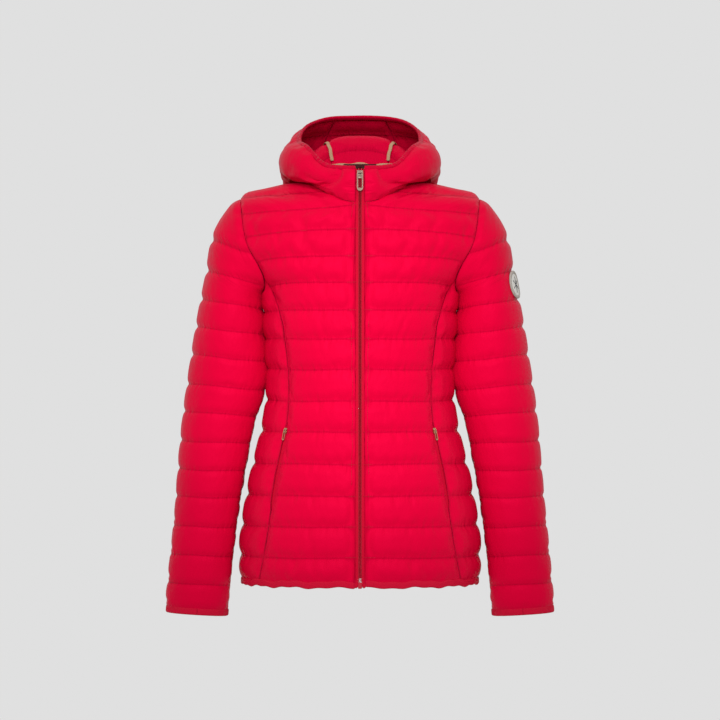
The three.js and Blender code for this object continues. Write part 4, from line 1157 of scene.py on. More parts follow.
@dataclass
class Sleeves:
    """One quilted tube for each arm, and its cuff."""

    shop: Workshop
    sections: tuple[tuple[float, ...], ...] = (
        (154, 436, 224, 530, 4, 63), (155, 390, 246, 439, 4, 61), (149, 310, 265, 325, 3, 55),
        (164, 235, 276, 240, 0, 49), (181, 140, 284, 145, -5, 44), (193, 45, 294, 48, -11, 38),
        (202, -50, 302, -43, -17, 32))
    rows: tuple[float, ...] = (4, 48, 92, 137, 179, 222, 267, 309, 354, 397, 440, 484.5, 528)
    tilt_at: tuple[float, ...] = (-50, 137, 222, 267, 354, 397, 440, 484.5, 528, 600)
    tilt: tuple[float, ...] = (6, 4, 5, 8, 11, 13, 16, 26, 32, 38)
    outward: tuple[float, float, float] = (0.9701, 0, -0.2425)
    cuff_edge: float = -43
    columns: int = 74
    cell: float = 5.0
    seam_depth: float = 3.0
    lean_in: float = 7.0
    cap_rise: float = 7.0
    blend_from: float = 250.4  # millimetres along (0.6, 0, -0.8), where the sleeve starts to turn
    blend_to: float = 326.4
    quilts: dict[str, Quilt] = field(default_factory=dict)

    def rings(self, turn: Array) -> Array:
        """Points of the armhole ring and of every section, at each angle round the sleeve."""
        angle, level = ARMHOLE.place(turn)
        edge = TORSO.point(angle, level) + np.array(self.outward) * 0.2
        rise, ahead = np.sin(np.radians(turn)), np.cos(np.radians(turn))
        found = [edge]
        for ix, iz, ox, oz, y, half in self.sections:
            found.append(np.stack([(ix + ox + (ox - ix) * rise) / 2, y - half * ahead,
                                   (iz + oz + (oz - iz) * rise) / 2], -1))
        return np.stack(found)

    def point(self, turn: Array, station: Array) -> Array:
        """Point of the sleeve's outer surface."""
        turn, station = np.broadcast_arrays(np.asarray(turn, float), np.asarray(station, float))
        rings = self.rings(turn.ravel())
        s = station.ravel()
        last = len(rings) - 1
        i = np.clip(np.floor(s).astype(int), 0, last - 1)
        t = (s - i)[:, None]
        n = np.arange(len(s))
        a, b, c, d = (rings[np.clip(i + k, 0, last), n] for k in (-1, 0, 1, 2))
        out = b + 0.5 * t * (c - a + t * (2 * a - 5 * b + 4 * c - d + t * (3 * (b - c) + d - a)))
        return out.reshape(*turn.shape, 3)

    def height(self, turn: Array, row: Array) -> Array:
        """Height of a stitched row, named by its height on the outside of the arm."""
        drop = np.interp(row, self.tilt_at, self.tilt)
        return row - drop * (1 - np.sin(np.radians(turn))) / 2

    def row_of(self, turn: Array, height: Array) -> Array:
        """Row that passes a point."""
        return row_through(height, lambda row: self.height(turn, row))

    def station_at(self, turn: Array, height: Array) -> Array:
        """Station at a height, by halving."""
        low, high = np.zeros(turn.shape), np.full(turn.shape, float(len(self.sections)))
        low, high = halved(lambda station: self.point(turn, station)[..., 2] > height, low, high, HALVINGS)
        return (low + high) / 2

    def lay_out(self) -> None:
        """Lays out both sleeves."""
        ring_turn = np.linspace(-90, 90, 60)
        front_rows = self.row_of(ring_turn, self.point(ring_turn, 0.0)[:, 2])
        back_turn = 180 - ring_turn
        back_rows = self.row_of(back_turn, self.point(back_turn, 0.0)[:, 2])
        top = float(front_rows[-1]) - 1.0
        stitched = [self.cuff_edge + BINDING, *self.rows, top]
        stations, marks = rows_between(stitched, self.cell)
        start = np.where(stations < front_rows[0], -89.95, np.interp(stations, front_rows, ring_turn))
        end = np.where(stations < back_rows[0], 269.95, np.interp(stations, back_rows, back_turn))
        turn = start[:, None] + (end - start)[:, None] * np.linspace(0, 1, self.columns)
        row = np.broadcast_to(stations[:, None], turn.shape)
        wobble = 0.9 * waves(np.radians(turn) * 1.5, row / 70, 5) * smoothstep(row, -20, 10) * (
            1 - smoothstep(row, 470, 500))
        level = self.station_at(turn, self.height(turn, row) + wobble)
        base = self.point(turn, level)
        inside = smoothstep(np.cos(np.radians(turn + 90)), 0.0, 0.8)
        beside = smoothstep(base[..., 2], 262, 345) * (1 - smoothstep(base[..., 2], 405, 448))
        base = base - np.array([1.0, 0, 0]) * (self.lean_in * inside * beside)[..., None]
        cap = np.sin(np.pi * np.clip(level / 1.5, 0, 1)) * smoothstep(np.sin(np.radians(turn)), 0.1, 0.9)
        base = base + np.array([0.75, 0, 0.66]) * (self.cap_rise * cap)[..., None]
        around = self.point(turn + 2, level) - self.point(turn - 2, level)
        along = self.point(turn, level + 0.03) - self.point(turn, level - 0.03)
        normal = unit(np.cross(along, around))
        middle = self.point(0.0, level.mean(1)) + self.point(180.0, level.mean(1))
        if np.sum((base - middle[:, None] / 2) * normal) < 0:
            normal = -normal
        pins = np.broadcast_to(marks[:, None], turn.shape).copy().astype(float)
        pins[:, 0] = pins[:, -1] = 1
        crown = crown_of(stations, stitched)[:, None] * edge_rise(self.columns)[None]
        run = run_along(base, 1)
        depth = self.seam_depth - 2.2 * inside * smoothstep(base[..., 2], 230, 300)
        depth = depth - (depth - 1.4) * (1 - smoothstep(level, 0.0, 0.5))
        at_edge = 1 - smoothstep(level, 0.0, 0.35)[..., None]
        angle, place = ARMHOLE.place(turn)
        normal = unit(normal * (1 - at_edge) + TORSO.normal(angle, place) * at_edge)
        for side in Side:
            name = f"sleeve_{side.word}"
            flip = side.flip
            cloth = np.stack([run + (900 if side is Side.LEFT else 400), row], -1)
            self.quilts[name] = self.shop.down.add(Quilt(
                name, base * flip, normal * flip, pins, crown, cloth, depth, 5.0))

    def bend(self, piece: bpy.types.Object, side: Side) -> None:
        """Bakes a piece's placement into its points."""
        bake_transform(piece)

    def build(self) -> None:
        """Makes the sleeves and queues their stitches."""
        for side in Side:
            quilt = self.quilts[f"sleeve_{side.word}"]
            piece = self.shop.pillow(quilt, 0.5)
            self.bend(piece, side)
            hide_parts(f"sleeve_{side.word}", f"sleeve_head_{side.word}")
            self.shop.sew_rows(f"sleeve_{side.word}", quilt)
            self.cuff(side)

    def cuff(self, side: Side) -> None:
        """Elastic binding round the cuff."""
        turn = np.linspace(0, 360, 121)[:-1]
        low = self.point(turn, float(len(self.sections)))
        top_row = np.full(turn.shape, self.cuff_edge + BINDING)
        high = self.point(turn, self.station_at(turn, self.height(turn, top_row)))
        middle = (low + high) / 2
        up = unit(high - low)
        centre = middle.mean(0)
        out = middle - centre
        out = unit(out - up * np.sum(out * up, -1, keepdims=True))
        gather = 0.35 * np.sin(turn * 0.9) + 0.25 * np.sin(turn * 1.7 + 1)
        path = middle + up * 1.0 - out * (4.2 - gather[:, None])
        outline = rounded(5.2, BINDING + 2.4, 2.4)
        sewn = swept(path * side.flip, out * side.flip, up * side.flip, outline, False)
        self.shop.trim(sewn, f"cuff_binding_{side.word}", self.shop.wardrobe.trim, Slot.TRIM,
                       f"{side.word}_sleeve")


@dataclass
class HemBand:
    """Elastic binding round the hem, open at the zip."""

    shop: Workshop

    def build(self) -> None:
        """Makes the band."""
        start = float(TORSO.angle_at_x(ZIP_OPENING, np.array(0.1)))
        angle = np.linspace(start, 360 - start, 240)
        folded = np.where(angle > 180, 360 - angle, angle)
        flip = np.where(angle > 180, -1.0, 1.0)[:, None] * [1, 0, 0] + [0, 1, 1]
        level = TORSO.level_at(folded, np.full(angle.shape, BINDING / 2))
        middle = TORSO.point(folded, level) * flip
        out = TORSO.normal(folded, level) * flip
        out = unit(out * [1, 1, 0])
        gather = 0.3 * np.sin(angle * 2.3) + 0.25 * np.sin(angle * 3.7 + 1)
        wave = 1.1 * np.sin(angle * 0.27 + 1) + 0.9 * np.sin(angle * 0.61)
        middle = middle + np.array([0.0, 0, 1]) * (1.3 + wave)[:, None]
        sewn = swept(middle - out * (4.4 - gather[:, None]), out, np.tile([0.0, 0, 1], (len(angle), 1)),
                     rounded(5.4, BINDING + 2.0, 2.4))
        self.shop.trim(sewn, "hem_binding", self.shop.wardrobe.trim, Slot.TRIM)


@dataclass
class Hood:
    """Chin, hood sides and centre, with the binding round the face opening."""

    shop: Workshop
    front_out: tuple[float, ...] = (0, 2, 3.5, 4.5, 5, 5, 4.5, 3.5, 2, 0)
    front_up: tuple[float, ...] = (5, 10, 15, 20, 25, 30, 35, 40, 45, 49)
    side_out: tuple[float, ...] = (1, 8, 16, 24, 32, 39, 43, 41, 33, 18)
    side_up: tuple[float, ...] = (6, 10, 12, 13, 15, 18, 27, 38, 49, 57)
    back_out: tuple[float, ...] = (2, 13, 26, 42, 57, 77, 100, 112, 98, 62)
    back_up: tuple[float, ...] = (5, 40, 52, 34, -18, -58, -45, 5, 56, 88)
    rows: tuple[float, ...] = (0.0, 0.085, 0.30, 0.415, 0.52, 0.67, 0.767, 0.841, 0.911, 0.985)
    centre_neck: float = 146
    centre_face: float = 165
    padding: float = 8
    seam_depth: float = 3.0
    loft: float = 5.4
    chin_dip: float = 0.8
    shoulder_dip: float = 8.0
    quilts: dict[str, Quilt] = field(default_factory=dict)

    def point(self, angle: Array, share: Array) -> Array:
        """Middle surface of the hood's cloth at an angle from centre front, 0 to 1 from neck to face."""
        angle, share = np.broadcast_arrays(np.asarray(angle, float), np.asarray(share, float))
        turned = np.where(angle > 180, 360 - angle, angle)
        neck = TORSO.point(turned, TORSO.neck_level)
        to_side, to_back = smoothstep(turned, 20, 82), smoothstep(turned, 92, 168)
        station = share * (len(self.back_out) - 1)

        def value(front: Sequence[float], side: Sequence[float], back: Sequence[float]) -> Array:
            """Value between those in front, at the side and behind."""
            ahead = curve(front, station) + (curve(side, station) - curve(front, station)) * to_side
            return ahead + (curve(back, station) - ahead) * to_back

        out = value(self.front_out, self.side_out, self.back_out)
        up = value(self.front_up, self.side_up, self.back_up)
        sine, cosine = np.sin(np.radians(turned)), np.cos(np.radians(turned))
        outward = unit(np.stack([sine, -cosine * 0.85, np.zeros(sine.shape)], -1))
        lean = np.where(turned < 90, cosine * (TORSO.zip_neck_y - TORSO.zip_hem_y) / TORSO.front[-1], 0)
        in_front = 1 - smoothstep(turned, 36, 66)
        chin = (neck[..., 2] - TORSO.front[-1]) * in_front * smoothstep(share, 0.15, 1)
        up = up - self.chin_dip * chin
        dipped = np.sin(np.pi * np.clip(share * 1.25, 0, 1)) ** 2
        up = up - self.shoulder_dip * to_side * (1 - to_back) * dipped
        found = neck + outward * out[..., None] + np.stack([np.zeros(up.shape), up * lean, up], -1)
        return found * self.mirror_of(angle)

    def mirror_of(self, angle: Array) -> Array:
        """Factors that bring points of the wearer's left to the side on which an angle lies."""
        return np.where(angle > 180, -1.0, 1.0)[..., None] ** np.array([1, 0, 0])

    def normal(self, angle: Array, share: Array) -> Array:
        """Outward unit normal of the hood's cloth."""
        a = self.point(angle + 1, share) - self.point(angle - 1, share)
        b = self.point(angle, share + 0.01) - self.point(angle, share - 0.01)
        return unit(np.cross(a, b))

    def angle_at_x(self, x: float, share: Array) -> Array:
        """Angle in front at which the cloth is at a distance from the middle."""
        low, high = np.zeros(share.shape), np.full(share.shape, 90.0)
        return halved(lambda angle: self.point(angle, share)[..., 0] < x, low, high, HALVINGS)[0]

    def centre_edge(self, share: Array) -> Array:
        """Edge of the centre panel."""
        return self.centre_neck + (self.centre_face - self.centre_neck) * share

    def quilt(self, name: str, left: Callable[[Array], Array], right: Callable[[Array], Array], columns: int,
              mirror: bool) -> Quilt:
        """Lays out one of the hood's panels.

        Args:
            name: the panel's name.
            left: angle of its first edge at each row.
            right: angle of its other edge.
            columns: points across.
            mirror: whether it is the wearer's right one.

        Returns:
            The quilted sheet.
        """
        stations, marks = rows_between(self.rows, 0.0165)
        a0, a1 = left(stations)[:, None], right(stations)[:, None]
        angle = a0 + (a1 - a0) * np.linspace(0, 1, columns)
        share = np.broadcast_to(stations[:, None], angle.shape)
        base, normal = self.point(angle, share), self.normal(angle, share)
        folded = np.where(angle > 180, 360 - angle, angle)
        behind = smoothstep(folded, 96, 128)
        held = (np.broadcast_to(marks[:, None], angle.shape) * (behind > 0.5)).astype(float)
        held[0] = held[-1] = 1
        held[:, 0] = held[:, -1] = 1
        rows = crown_of(stations, self.rows)[:, None]
        whole = crown_of(stations, (0.0, self.rows[-1]))[:, None] ** 0.5
        crown = (rows * behind + whole * (1 - behind)) * edge_rise(columns)[None]
        if mirror:
            base, normal = base * [-1, 1, 1], normal * [-1, 1, 1]
        cloth = np.stack([run_along(base, 1) + 2000, run_along(base, 0)], -1)
        pressure = behind * 0.9 + (1 - behind) * 0.4
        at_neck = 1 - smoothstep(share, 0.0, 0.09)[..., None]
        neck_normal = TORSO.normal(folded, TORSO.neck_level - 0.1) * self.mirror_of(angle)
        if mirror:
            neck_normal = neck_normal * [-1, 1, 1]
        surface = base + normal * (self.padding / 2) * (1 - 0.35 * at_neck) - np.array([0, 0, 6.5]) * at_neck
        normal = unit(normal * (1 - at_neck * 0.6) + neck_normal * at_neck * 0.6)
        depth = np.full(angle.shape, self.seam_depth)
        return self.shop.down.add(
            Quilt(name, surface, normal, held, crown, cloth, depth, self.loft, pressure))

    def lay_out(self) -> None:
        """Lays out the hood's three panels."""
        for side in Side:
            name = f"hood_side_{side.word}"
            self.quilts[name] = self.quilt(name, lambda s: self.angle_at_x(ZIP_OPENING, s),
                                           lambda s: self.centre_edge(s) + 0.05, 58, side is Side.RIGHT)
        self.quilts["hood_centre"] = self.quilt("hood_centre", lambda s: self.centre_edge(s) - 0.05,
                                                lambda s: 360 - self.centre_edge(s) + 0.05, 24, False)

    def bend(self, piece: bpy.types.Object) -> None:
        """Bakes a piece's placement into its points."""
        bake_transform(piece)

    def build(self) -> None:
        """Makes the hood's panels, rim and stitches."""
        for name, quilt in self.quilts.items():
            piece = self.shop.pillow(quilt, 0.8, 1.4)
            self.bend(piece)
            if name == "hood_centre":
                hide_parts(name)
            else:
                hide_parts(name, name.replace("hood_side", "chin_panel"))
            lift = quilt.filled + quilt.normal * STITCH_LIFT
            for row in np.flatnonzero(np.max(quilt.stitched, axis=1) > 0)[1:-1]:
                held = np.flatnonzero(quilt.stitched[row] > 0)
                if len(held) > 4:
                    self.shop.stitching.along("hood", lift[row, held[1:]])
        self.rim()
        self.seam_tapes()

    def rim(self) -> None:
        """Elastic binding round the face opening."""
        start = float(self.angle_at_x(ZIP_OPENING, np.array([1.0]))[0])
        angle = np.linspace(start, 360 - start, 200)
        share = np.full(angle.shape, 0.998)
        middle = self.point(angle, share)
        up = unit(self.point(angle, share + 0.01) - self.point(angle, share - 0.01))
        out = self.normal(angle, share)
        gather = 0.25 * np.sin(angle * 2.1) + 0.2 * np.sin(angle * 3.3)
        sewn = swept(middle + out * gather[:, None], out, up, rounded(5.2, 8.0, 2.3))
        self.bend(self.shop.trim(sewn, "hood_rim_binding", self.shop.wardrobe.shell, Slot.TRIM, None))

    def seam_tapes(self) -> None:
        """Beige tapes over the inner seams beside the centre panel."""
        for side in Side:
            share = np.linspace(0.055, 0.265, 26)
            angle = self.centre_edge(share) if side is Side.LEFT else 360 - self.centre_edge(share)
            middle = self.point(angle, share) - self.normal(angle, share) * 4.4
            along = unit(np.gradient(middle, axis=0))
            out = self.normal(angle, share)
            across = unit(np.cross(along, out))
            crumple = 0.4 * np.sin(share * 90)[:, None]
            sewn = swept(middle + across * crumple, across, out, rounded(5.4, 1.3, 0.55, 2))
            self.bend(self.shop.trim(sewn, f"hood_seam_tape_{side.word}", self.shop.wardrobe.beige,
                                     Slot.BEIGE, None))


@dataclass
class NeckTrim:
    """Neck tape, hanger loop and label."""

    shop: Workshop
    hood: Hood

    def build(self) -> None:
        """Makes the neck's trim."""
        angle = np.linspace(48, 312, 120)
        base = self.hood.point(angle, 0.0)
        outward = unit(base * [1, 0.9, 0])
        lift = 1.8 + 1.3 * np.sin(angle / 9.0) + 0.8 * np.sin(angle / 4.1 + 2)
        from_back = np.abs(angle - 180)
        lift = lift + 7.5 * smoothstep(from_back, 8, 46) * (1 - smoothstep(from_back, 50, 90))
        middle = base - outward * 5.6 + np.stack([0 * lift, 0 * lift, lift], -1)
        lean = unit(outward * 0.25 + [0, 0, 1])
        out = unit(np.cross(lean, np.gradient(middle, axis=0)))
        sewn = swept(middle, lean, out, rounded(9.5, 1.3, 0.6, 2))
        self.shop.trim(sewn, "neck_tape", self.shop.wardrobe.beige, Slot.BEIGE)
        self.loop()
        self.label()

    def loop(self) -> None:
        """Hanger loop: a folded strip on its two sewn ends."""
        low, high = (from_row(corner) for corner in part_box("hanger_loop"))
        half, thick, corner = (high[0] - low[0]) / 2 - 1.2, 2.4, 3.0
        front, back = low[1] + thick / 2, high[1]
        turns = np.radians(np.linspace(0, 90, 7))
        left = [(-half, back), (-half, front + corner)]
        left += [(-half + corner - corner * math.cos(t), front + corner - corner * math.sin(t))
                 for t in turns[1:]]
        right = [(-x, y) for x, y in left[::-1]]
        across = [(x, front) for x in np.linspace(-half + corner, half - corner, 12)[1:-1]]
        flat = np.array([*left, *across, *right])
        path = np.column_stack([flat, np.full(len(flat), (low[2] + high[2]) / 2)])
        along = unit(np.gradient(path, axis=0))
        up = np.tile([0.0, 0, 1], (len(path), 1))
        sewn = swept(path, np.cross(along, up), up, rounded(2.3, high[2] - low[2], 0.9, 2))
        self.shop.trim(sewn, "hanger_loop", self.shop.wardrobe.dark, Slot.DARK)

    def label(self) -> None:
        """Plain woven label with a folded lower edge."""
        low, high = (from_row(corner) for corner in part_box("neck_label"))
        x, z = np.meshgrid(np.linspace(low[0], high[0], 17), np.linspace(high[2], low[2], 19))
        sag = 0.5 * np.sin((x - low[0]) / (high[0] - low[0]) * math.pi) * (high[2] - z) / 34
        y = (low[1] + high[1]) / 2 - sag
        face = np.stack([x, y - 0.35, z], -1)
        rear = np.stack([x, y + 0.35, z], -1)
        cloth = np.stack([x, z / 20], -1)
        self.shop.trim(closed_layers(face, rear, cloth), "neck_label", self.shop.wardrobe.dark, Slot.DARK)


@dataclass
class FrontZip:
    """Zip tapes, coils, stops and box; the slider and its pull tab keep their cast shapes."""

    shop: Workshop
    sink: float = 3.0
    chin: float = 49
    box_length: float = 10
    stop_length: float = 3
    coil_x: float = 2.0
    coil_pitch: float = 1.25
    coil_width: float = 3.4
    coil_thickness: float = 2.2
    coil_slant: float = 0.12
    half_turn: float = 0.6
    turns_x: float = 1.75
    tape_x: float = 6.0

    def axis(self, along: Array, x: Array | float = 0.0, depth: Array | float = 0.0) -> Array:
        """Points beside the zip: distance up from the hem, across, and out from the coils' middle."""
        rise = TORSO.front[-1]
        lean = math.atan2(TORSO.zip_neck_y - TORSO.zip_hem_y, rise)
        along, x, depth = np.broadcast_arrays(np.asarray(along, float), x, depth)
        inward = self.sink - depth
        return np.stack([x, TORSO.zip_hem_y + inward * math.cos(lean) + along * math.sin(lean),
                         along * math.cos(lean) - inward * math.sin(lean)], -1)

    @property
    def length(self) -> float:
        """Length of the zip."""
        height = TORSO.front[-1] + self.chin
        return math.hypot(height, float(TORSO.zip_y(np.array(height))) - TORSO.zip_hem_y)

    def strip(self, name: str, low: float, high: float, x: float, outline: Array,
              material: bpy.types.Material, count: int = 60) -> None:
        """Makes a straight bar along the zip.

        Args:
            name: the piece's name.
            low: distance of its lower end from the hem.
            high: distance of its upper end.
            x: its distance from the middle.
            outline: its outline.
            material: its finish.
            count: points along it.
        """
        path = self.axis(np.linspace(low, high, count), x)
        across = np.tile([1.0, 0, 0], (count, 1))
        out = unit(self.axis(np.array([1.0]), 0.0, 1.0) - self.axis(np.array([1.0])))
        self.shop.trim(swept(path, across, np.repeat(out, count, 0), outline), name, material, Slot.TRIM)

    def coil_turns(self, material: bpy.types.Material) -> Repeat:
        """Turns of the coil, to be repeated along a line."""
        turns = Repeat("zip_coil", ("Pitch", "Width", "Thickness", "Turn"), material,
                       "GeometryNodeMeshUVSphere")
        turns.item.inputs["Segments"].default_value = 6
        turns.item.inputs["Rings"].default_value = 4
        turns.item.inputs["Radius"].default_value = 0.5
        size, spin = (turns.tree.nodes.new("ShaderNodeCombineXYZ") for _ in range(2))
        link = turns.tree.links.new
        for axis, name in enumerate(("Width", "Thickness", "Pitch")):
            link(turns.given.outputs[name], size.inputs[axis])
        link(turns.given.outputs["Turn"], spin.inputs[1])
        link(spin.outputs[0], turns.place.inputs["Rotation"])
        link(size.outputs[0], turns.place.inputs["Scale"])
        return turns

    def build(self) -> None:
        """Makes the zip."""
        wardrobe = self.shop.wardrobe
        turns = self.coil_turns(wardrobe.coil)
        sizes = [size * MILLIMETRE for size in (self.coil_pitch, self.coil_width, self.coil_thickness)]
        first, last = self.box_length + 0.4, self.length - self.stop_length - 0.4
        for side in Side:
            sign = side.value
            self.strip(f"zip_tape_{side.word}", 0, self.length, sign * self.tape_x,
                       rounded(6.6, 1.1, 0.45, 2), wardrobe.zip_tape)
            self.strip(f"zip_top_stop_{side.word}", last + 0.2, self.length, sign * self.coil_x,
                       rounded(2.2, 2.2, 0.6), wardrobe.coil, 6)
            start = first + (self.half_turn if sign > 0 else 0)
            ends = self.axis(np.array([start, last]), sign * self.turns_x)
            piece = turns.along(f"zip_coil_turns_{side.word}", [ends], [*sizes, sign * self.coil_slant])
            piece.data.polygons.foreach_set("use_smooth", [True] * len(piece.data.polygons))
            self.shop.dress(piece, wardrobe.coil, Slot.TRIM)
            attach(piece, "jacket_body")
            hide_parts(f"zip_coil_{side.word}")
        self.strip("zip_bottom_box", 0, self.box_length, 0.0, rounded(6.2, 3.8, 1.0), wardrobe.coil, 8)
        for node in ("zip_slider", "zip_pull"):
            self.metal(node, wardrobe.bronze)
        for side in Side:
            for node in ("pocket_slider", "pocket_pull"):
                self.metal(f"{node}_{side.word}", wardrobe.gold)

    def metal(self, node: str, material: bpy.types.Material) -> None:
        """Gives a cast part its finish."""
        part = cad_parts[node]
        for slot in part.material_slots:
            slot.material = material
        log.info("%s: finish %s", node, material.name)


@dataclass
class Pockets:
    """Hand pocket zips in the princess seams and the bags behind them."""

    shop: Workshop
    panels: BodyPanels
    sink: float = 5.0
    bag_width: float = 88
    bag_below: float = 22
    near_seam: float = 50.0

    def line(self, height: Array, sink: float) -> tuple[Array, Array]:
        """Points and outward directions along the left pocket's opening."""
        level = TORSO.level_at(self.near_seam, height)
        angle = princess_angle(FRONT_PRINCESS, level)
        out = TORSO.normal(angle, level)
        return TORSO.point(angle, level) - out * sink, out

    def build(self) -> None:
        """Makes both pockets."""
        top, length = self.panels.pocket_top, self.panels.pocket_length
        ends, outs = self.line(np.array([top - length, top]), 0.0)
        count = 60
        share = np.linspace(0, 1, count)[:, None]
        out = unit(outs.sum(0))
        path = ends[0] + (ends[1] - ends[0]) * share
        along = unit(ends[1] - ends[0])
        out = unit(out - along * np.dot(out, along))
        across = np.cross(along, out)
        middle = path - out * (self.sink + 0.6)
        for side in Side:
            sewn = swept(middle * side.flip, np.tile(across * side.flip, (count, 1)),
                         np.tile(out * side.flip, (count, 1)), rounded(8.6, 1.2, 0.5, 2))
            self.shop.trim(sewn, f"pocket_zip_{side.word}", self.shop.wardrobe.zip_tape, Slot.TRIM)
            self.bag(side)

    def bag(self, side: Side) -> None:
        """Thin pouch of lining behind the front panel."""
        top = self.panels.pocket_top - 4
        bottom = self.panels.pocket_top - self.panels.pocket_length - self.bag_below
        height = np.linspace(bottom, top, 34)
        level = TORSO.level_at(self.near_seam, height)
        seam = TORSO.point(princess_angle(FRONT_PRINCESS, level), level)[:, 0]
        near, far = (np.array([float(TORSO.angle_at_x(x + beside, np.array(v))) for x, v in zip(seam, level)])
                     for beside in (3, -self.bag_width))
        angle = far[:, None] + (near - far)[:, None] * np.linspace(0, 1, 20)
        levels = np.broadcast_to(level[:, None], angle.shape)
        points, normal = TORSO.point(angle, levels), TORSO.normal(angle, levels)
        u, v = np.meshgrid(np.linspace(0, 1, 20), np.linspace(0, 1, 34))
        fill = (np.sin(np.pi * u) * np.sin(np.pi * v)) ** 0.45
        crease = 0.8 * waves(u * 7, v * 9, 3)
        mid, half = 19.0, 0.8 + 4.6 * fill
        outer = points - normal * (mid - half)[..., None]
        inner = points - normal * (mid + half + crease * fill)[..., None]
        cloth = np.stack([u * 90, v * 148], -1)
        sewn = closed_layers(outer * side.flip, inner * side.flip, cloth, fill)
        piece = self.shop.trim(sewn, f"pocket_bag_{side.word}", self.shop.wardrobe.lining, Slot.LINING)


@dataclass
class Badge:
    """Round sewn patch with a plain six-armed snowflake, on the left sleeve."""

    shop: Workshop
    sleeves: Sleeves
    radius: float = 19
    arm: float = 12.5
    arm_bend: float = 130

    def frame_of(self) -> tuple[Array, Array, Array, Array]:
        """Middle, across, up and outward directions of the patch, from its place in the frame."""
        vertices = from_row(np.array([v.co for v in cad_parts["sleeve_badge"].data.vertices], float))
        centre = vertices.mean(0)
        _, _, axes = np.linalg.svd(vertices - centre, full_matrices=False)
        out = axes[2] if axes[2][0] > 0 else -axes[2]
        up = unit(np.array([0.0, 0, 1]) - out * out[2])
        return centre, np.cross(up, out), up, out

    def place(self, flat: Array, height: Array) -> Array:
        """Patch points from flat ones and their height, bent a little round the arm."""
        centre, across, up, out = self.frame_of()
        bend = -(flat[..., 0] ** 2) / (2 * self.arm_bend)
        return centre + flat[..., :1] * across + flat[..., 1:] * up + (height + bend)[..., None] * out

    def disc(self) -> Sewn:
        """Ground of the patch, slightly crowned."""
        radii, turns = np.linspace(0.02, 1, 14), np.linspace(0, 2 * math.pi, 73)[:-1]
        r, t = np.meshgrid(radii, turns, indexing="ij")
        flat = np.stack([np.cos(t), np.sin(t)], -1) * (r * self.radius)[..., None]
        top = self.place(flat, 2.4 - 0.5 * r ** 6)
        under = self.place(flat, 0.3 + 0 * r)
        sewn = closed_layers(top, under, flat, None, True)
        size, columns = r.size, r.shape[1]
        sewn.faces = [f for f in sewn.faces
                      if not (max(f) % size < columns and max(f) >= size and min(f) < columns)]
        sewn.faces.append(tuple(range(columns)))
        sewn.faces.append(tuple(size + i for i in reversed(range(columns))))
        return sewn

    def ray(self, angle: float, start: float, end: float, width: float) -> Sewn:
        """One embroidered stroke of the snowflake."""
        along = np.array([math.cos(angle), math.sin(angle)])
        side = np.array([-along[1], along[0]])
        share = np.linspace(0, 1, 22)
        half = width / 2 * np.clip(np.minimum(share, 1 - share) * 14, 0.3, 1)
        middle = along * (start + (end - start) * share)[:, None]
        strokes = np.linspace(-1, 1, 7)
        flat = middle[:, None] + side * (half[:, None] * strokes)[..., None]
        lift = 2.35 + 0.55 * np.cos(strokes * math.pi / 2)[None] + 0.12 * np.sin(share * 60)[:, None]
        return closed_layers(self.place(flat, lift), self.place(flat, np.full(lift.shape, 1.6)))

    def build(self) -> None:
        """Makes the patch, its sewn edge and its snowflake."""
        ground = self.disc().make("sleeve_badge")
        self.shop.dress(ground, self.shop.wardrobe.patch, Slot.FIELD)
        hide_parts("sleeve_badge")
        turns = np.linspace(0, 2 * math.pi, 361)[:-1]
        ring = np.stack([np.cos(turns), np.sin(turns)], -1)
        twist = 0.16 * np.sin(turns * 90)
        path = self.place(ring * (self.radius + 0.6), 1.3 + 0 * turns)
        _, across, up, out = self.frame_of()
        away = ring[:, :1] * across + ring[:, 1:] * up
        outline = rounded(4.2, 3.2, 1.4) * (1 + twist)[:, None, None]
        edge = swept(path, away, np.tile(out, (len(path), 1)), outline, False).make("badge_border")
        self.shop.dress(edge, self.shop.wardrobe.border, Slot.BORDER)
        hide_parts("badge_border")
        strokes = [self.ray(math.radians(60 * k + 30), 0.6, self.arm, 1.9) for k in range(6)]
        faces, start = [], 0
        for stroke in strokes:
            faces += [tuple(i + start for i in f) for f in stroke.faces]
            start += len(stroke.points)
        snow = Sewn(np.concatenate([stroke.points for stroke in strokes]), faces).make("snowflake")
        self.shop.dress(snow, self.shop.wardrobe.ink, Slot.DARK)
        for piece in (ground, edge, snow):
            self.sleeves.bend(piece, Side.LEFT)


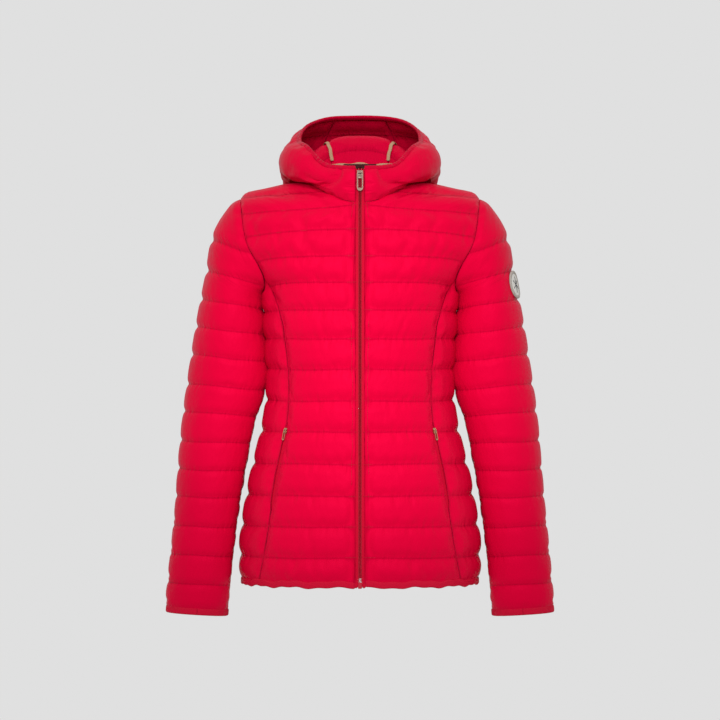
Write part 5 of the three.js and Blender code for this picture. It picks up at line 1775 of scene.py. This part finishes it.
# ---- studio ------------------------------------------------------------------------------------------
@dataclass
class Studio:
    """Backdrop, soft lights and camera."""

    backdrop: float = 0.745
    distance: float = 5.0
    field_width: float = 1.116
    height: float = -0.2999
    spot_power: float = 290
    spot_angle: float = 15.5
    floor_half: float = 15.0
    floor_below: float = 3.0

    def lamp(self, name: str, place: tuple[float, float, float], size: float, power: float) -> None:
        """A large soft lamp aimed at the jacket's middle."""
        light = bpy.data.lights.new(name, "AREA")
        light.shape, light.size, light.energy = "SQUARE", size, power
        lamp = bpy.data.objects.new(name, light)
        lamp.location = place
        aim = Vector((0, 0, self.height)) - Vector(place)
        lamp.rotation_euler = aim.to_track_quat("-Z", "Y").to_euler()
        bpy.context.scene.collection.objects.link(lamp)

    def floor(self) -> None:
        """Plain pale floor, far enough below the hanging jacket to carry no shadow of it."""
        half, level = self.floor_half, self.height - self.floor_below
        corners = [(-half, -half, level), (half, -half, level), (half, half, level), (-half, half, level)]
        mesh = bpy.data.meshes.new("floor")
        mesh.from_pydata(corners, [], [(0, 1, 2, 3)])
        paint = bpy.data.materials.new("floor_paint")
        paint.use_nodes = True
        shader = paint.node_tree.nodes["Principled BSDF"]
        shader.inputs["Base Color"].default_value = (0, 0, 0, 1)
        shader.inputs["Specular IOR Level"].default_value = 0
        shader.inputs["Emission Color"].default_value = (self.backdrop,) * 3 + (1,)
        shader.inputs["Emission Strength"].default_value = 1
        mesh.materials.append(paint)
        floor = bpy.data.objects.new("floor", mesh)
        bpy.context.scene.collection.objects.link(floor)

    def build(self) -> None:
        """Sets the studio up."""
        scene = bpy.context.scene
        world = bpy.data.worlds.new("studio")
        world.use_nodes = True
        world.node_tree.nodes["Background"].inputs[0].default_value = (self.backdrop,) * 3 + (1,)
        scene.world = world
        scene.view_settings.view_transform = "Standard"
        self.lamp("key", (-0.15, -2.5, 1.25), 0.8, 46)
        spot = bpy.data.lights.new("snoot", "SPOT")
        spot.energy, spot.spot_size = self.spot_power, math.radians(self.spot_angle)
        spot.spot_blend, spot.shadow_soft_size = 1.0, 0.12
        snoot = bpy.data.objects.new("snoot", spot)
        snoot.location = (0, -3.2, 0.35)
        aim = Vector((0, 0, self.height - 0.02)) - snoot.location
        snoot.rotation_euler = aim.to_track_quat("-Z", "Y").to_euler()
        scene.collection.objects.link(snoot)
        self.floor()
        camera = bpy.data.cameras.new("camera")
        camera.sensor_width = 36
        camera.lens = 36 * self.distance / self.field_width
        camera.clip_end = 50
        eye = bpy.data.objects.new("camera", camera)
        eye.location = (0, -self.distance - 0.0343, self.height)
        eye.rotation_euler = (math.radians(90), 0, 0)
        scene.collection.objects.link(eye)
        scene.camera = eye


def main() -> None:
    """Builds the jacket in order."""
    logging.basicConfig(level=logging.INFO, format="%(message)s")
    Studio().build()
    shop = Workshop(Wardrobe(), Down(), Stitching())
    body, sleeves, hood = BodyPanels(shop), Sleeves(shop), Hood(shop)
    for part in (body, sleeves, hood):
        part.lay_out()
    shop.down.fill()
    for part in (body, sleeves, hood):
        part.build()
    HemBand(shop).build()
    NeckTrim(shop, hood).build()
    FrontZip(shop).build()
    Pockets(shop, body).build()
    Badge(shop, sleeves).build()
    for owner, piece in shop.stitching.sew(shop.wardrobe.thread).items():
        shop.dress(piece, shop.wardrobe.thread, Slot.TRIM)
        if owner == "jacket_body":
            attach(piece, owner)
        elif owner == "hood":
            hood.bend(piece)
        else:
            sleeves.bend(piece, Side.LEFT if owner.endswith("left") else Side.RIGHT)


if __name__ == "__main__":
    main()
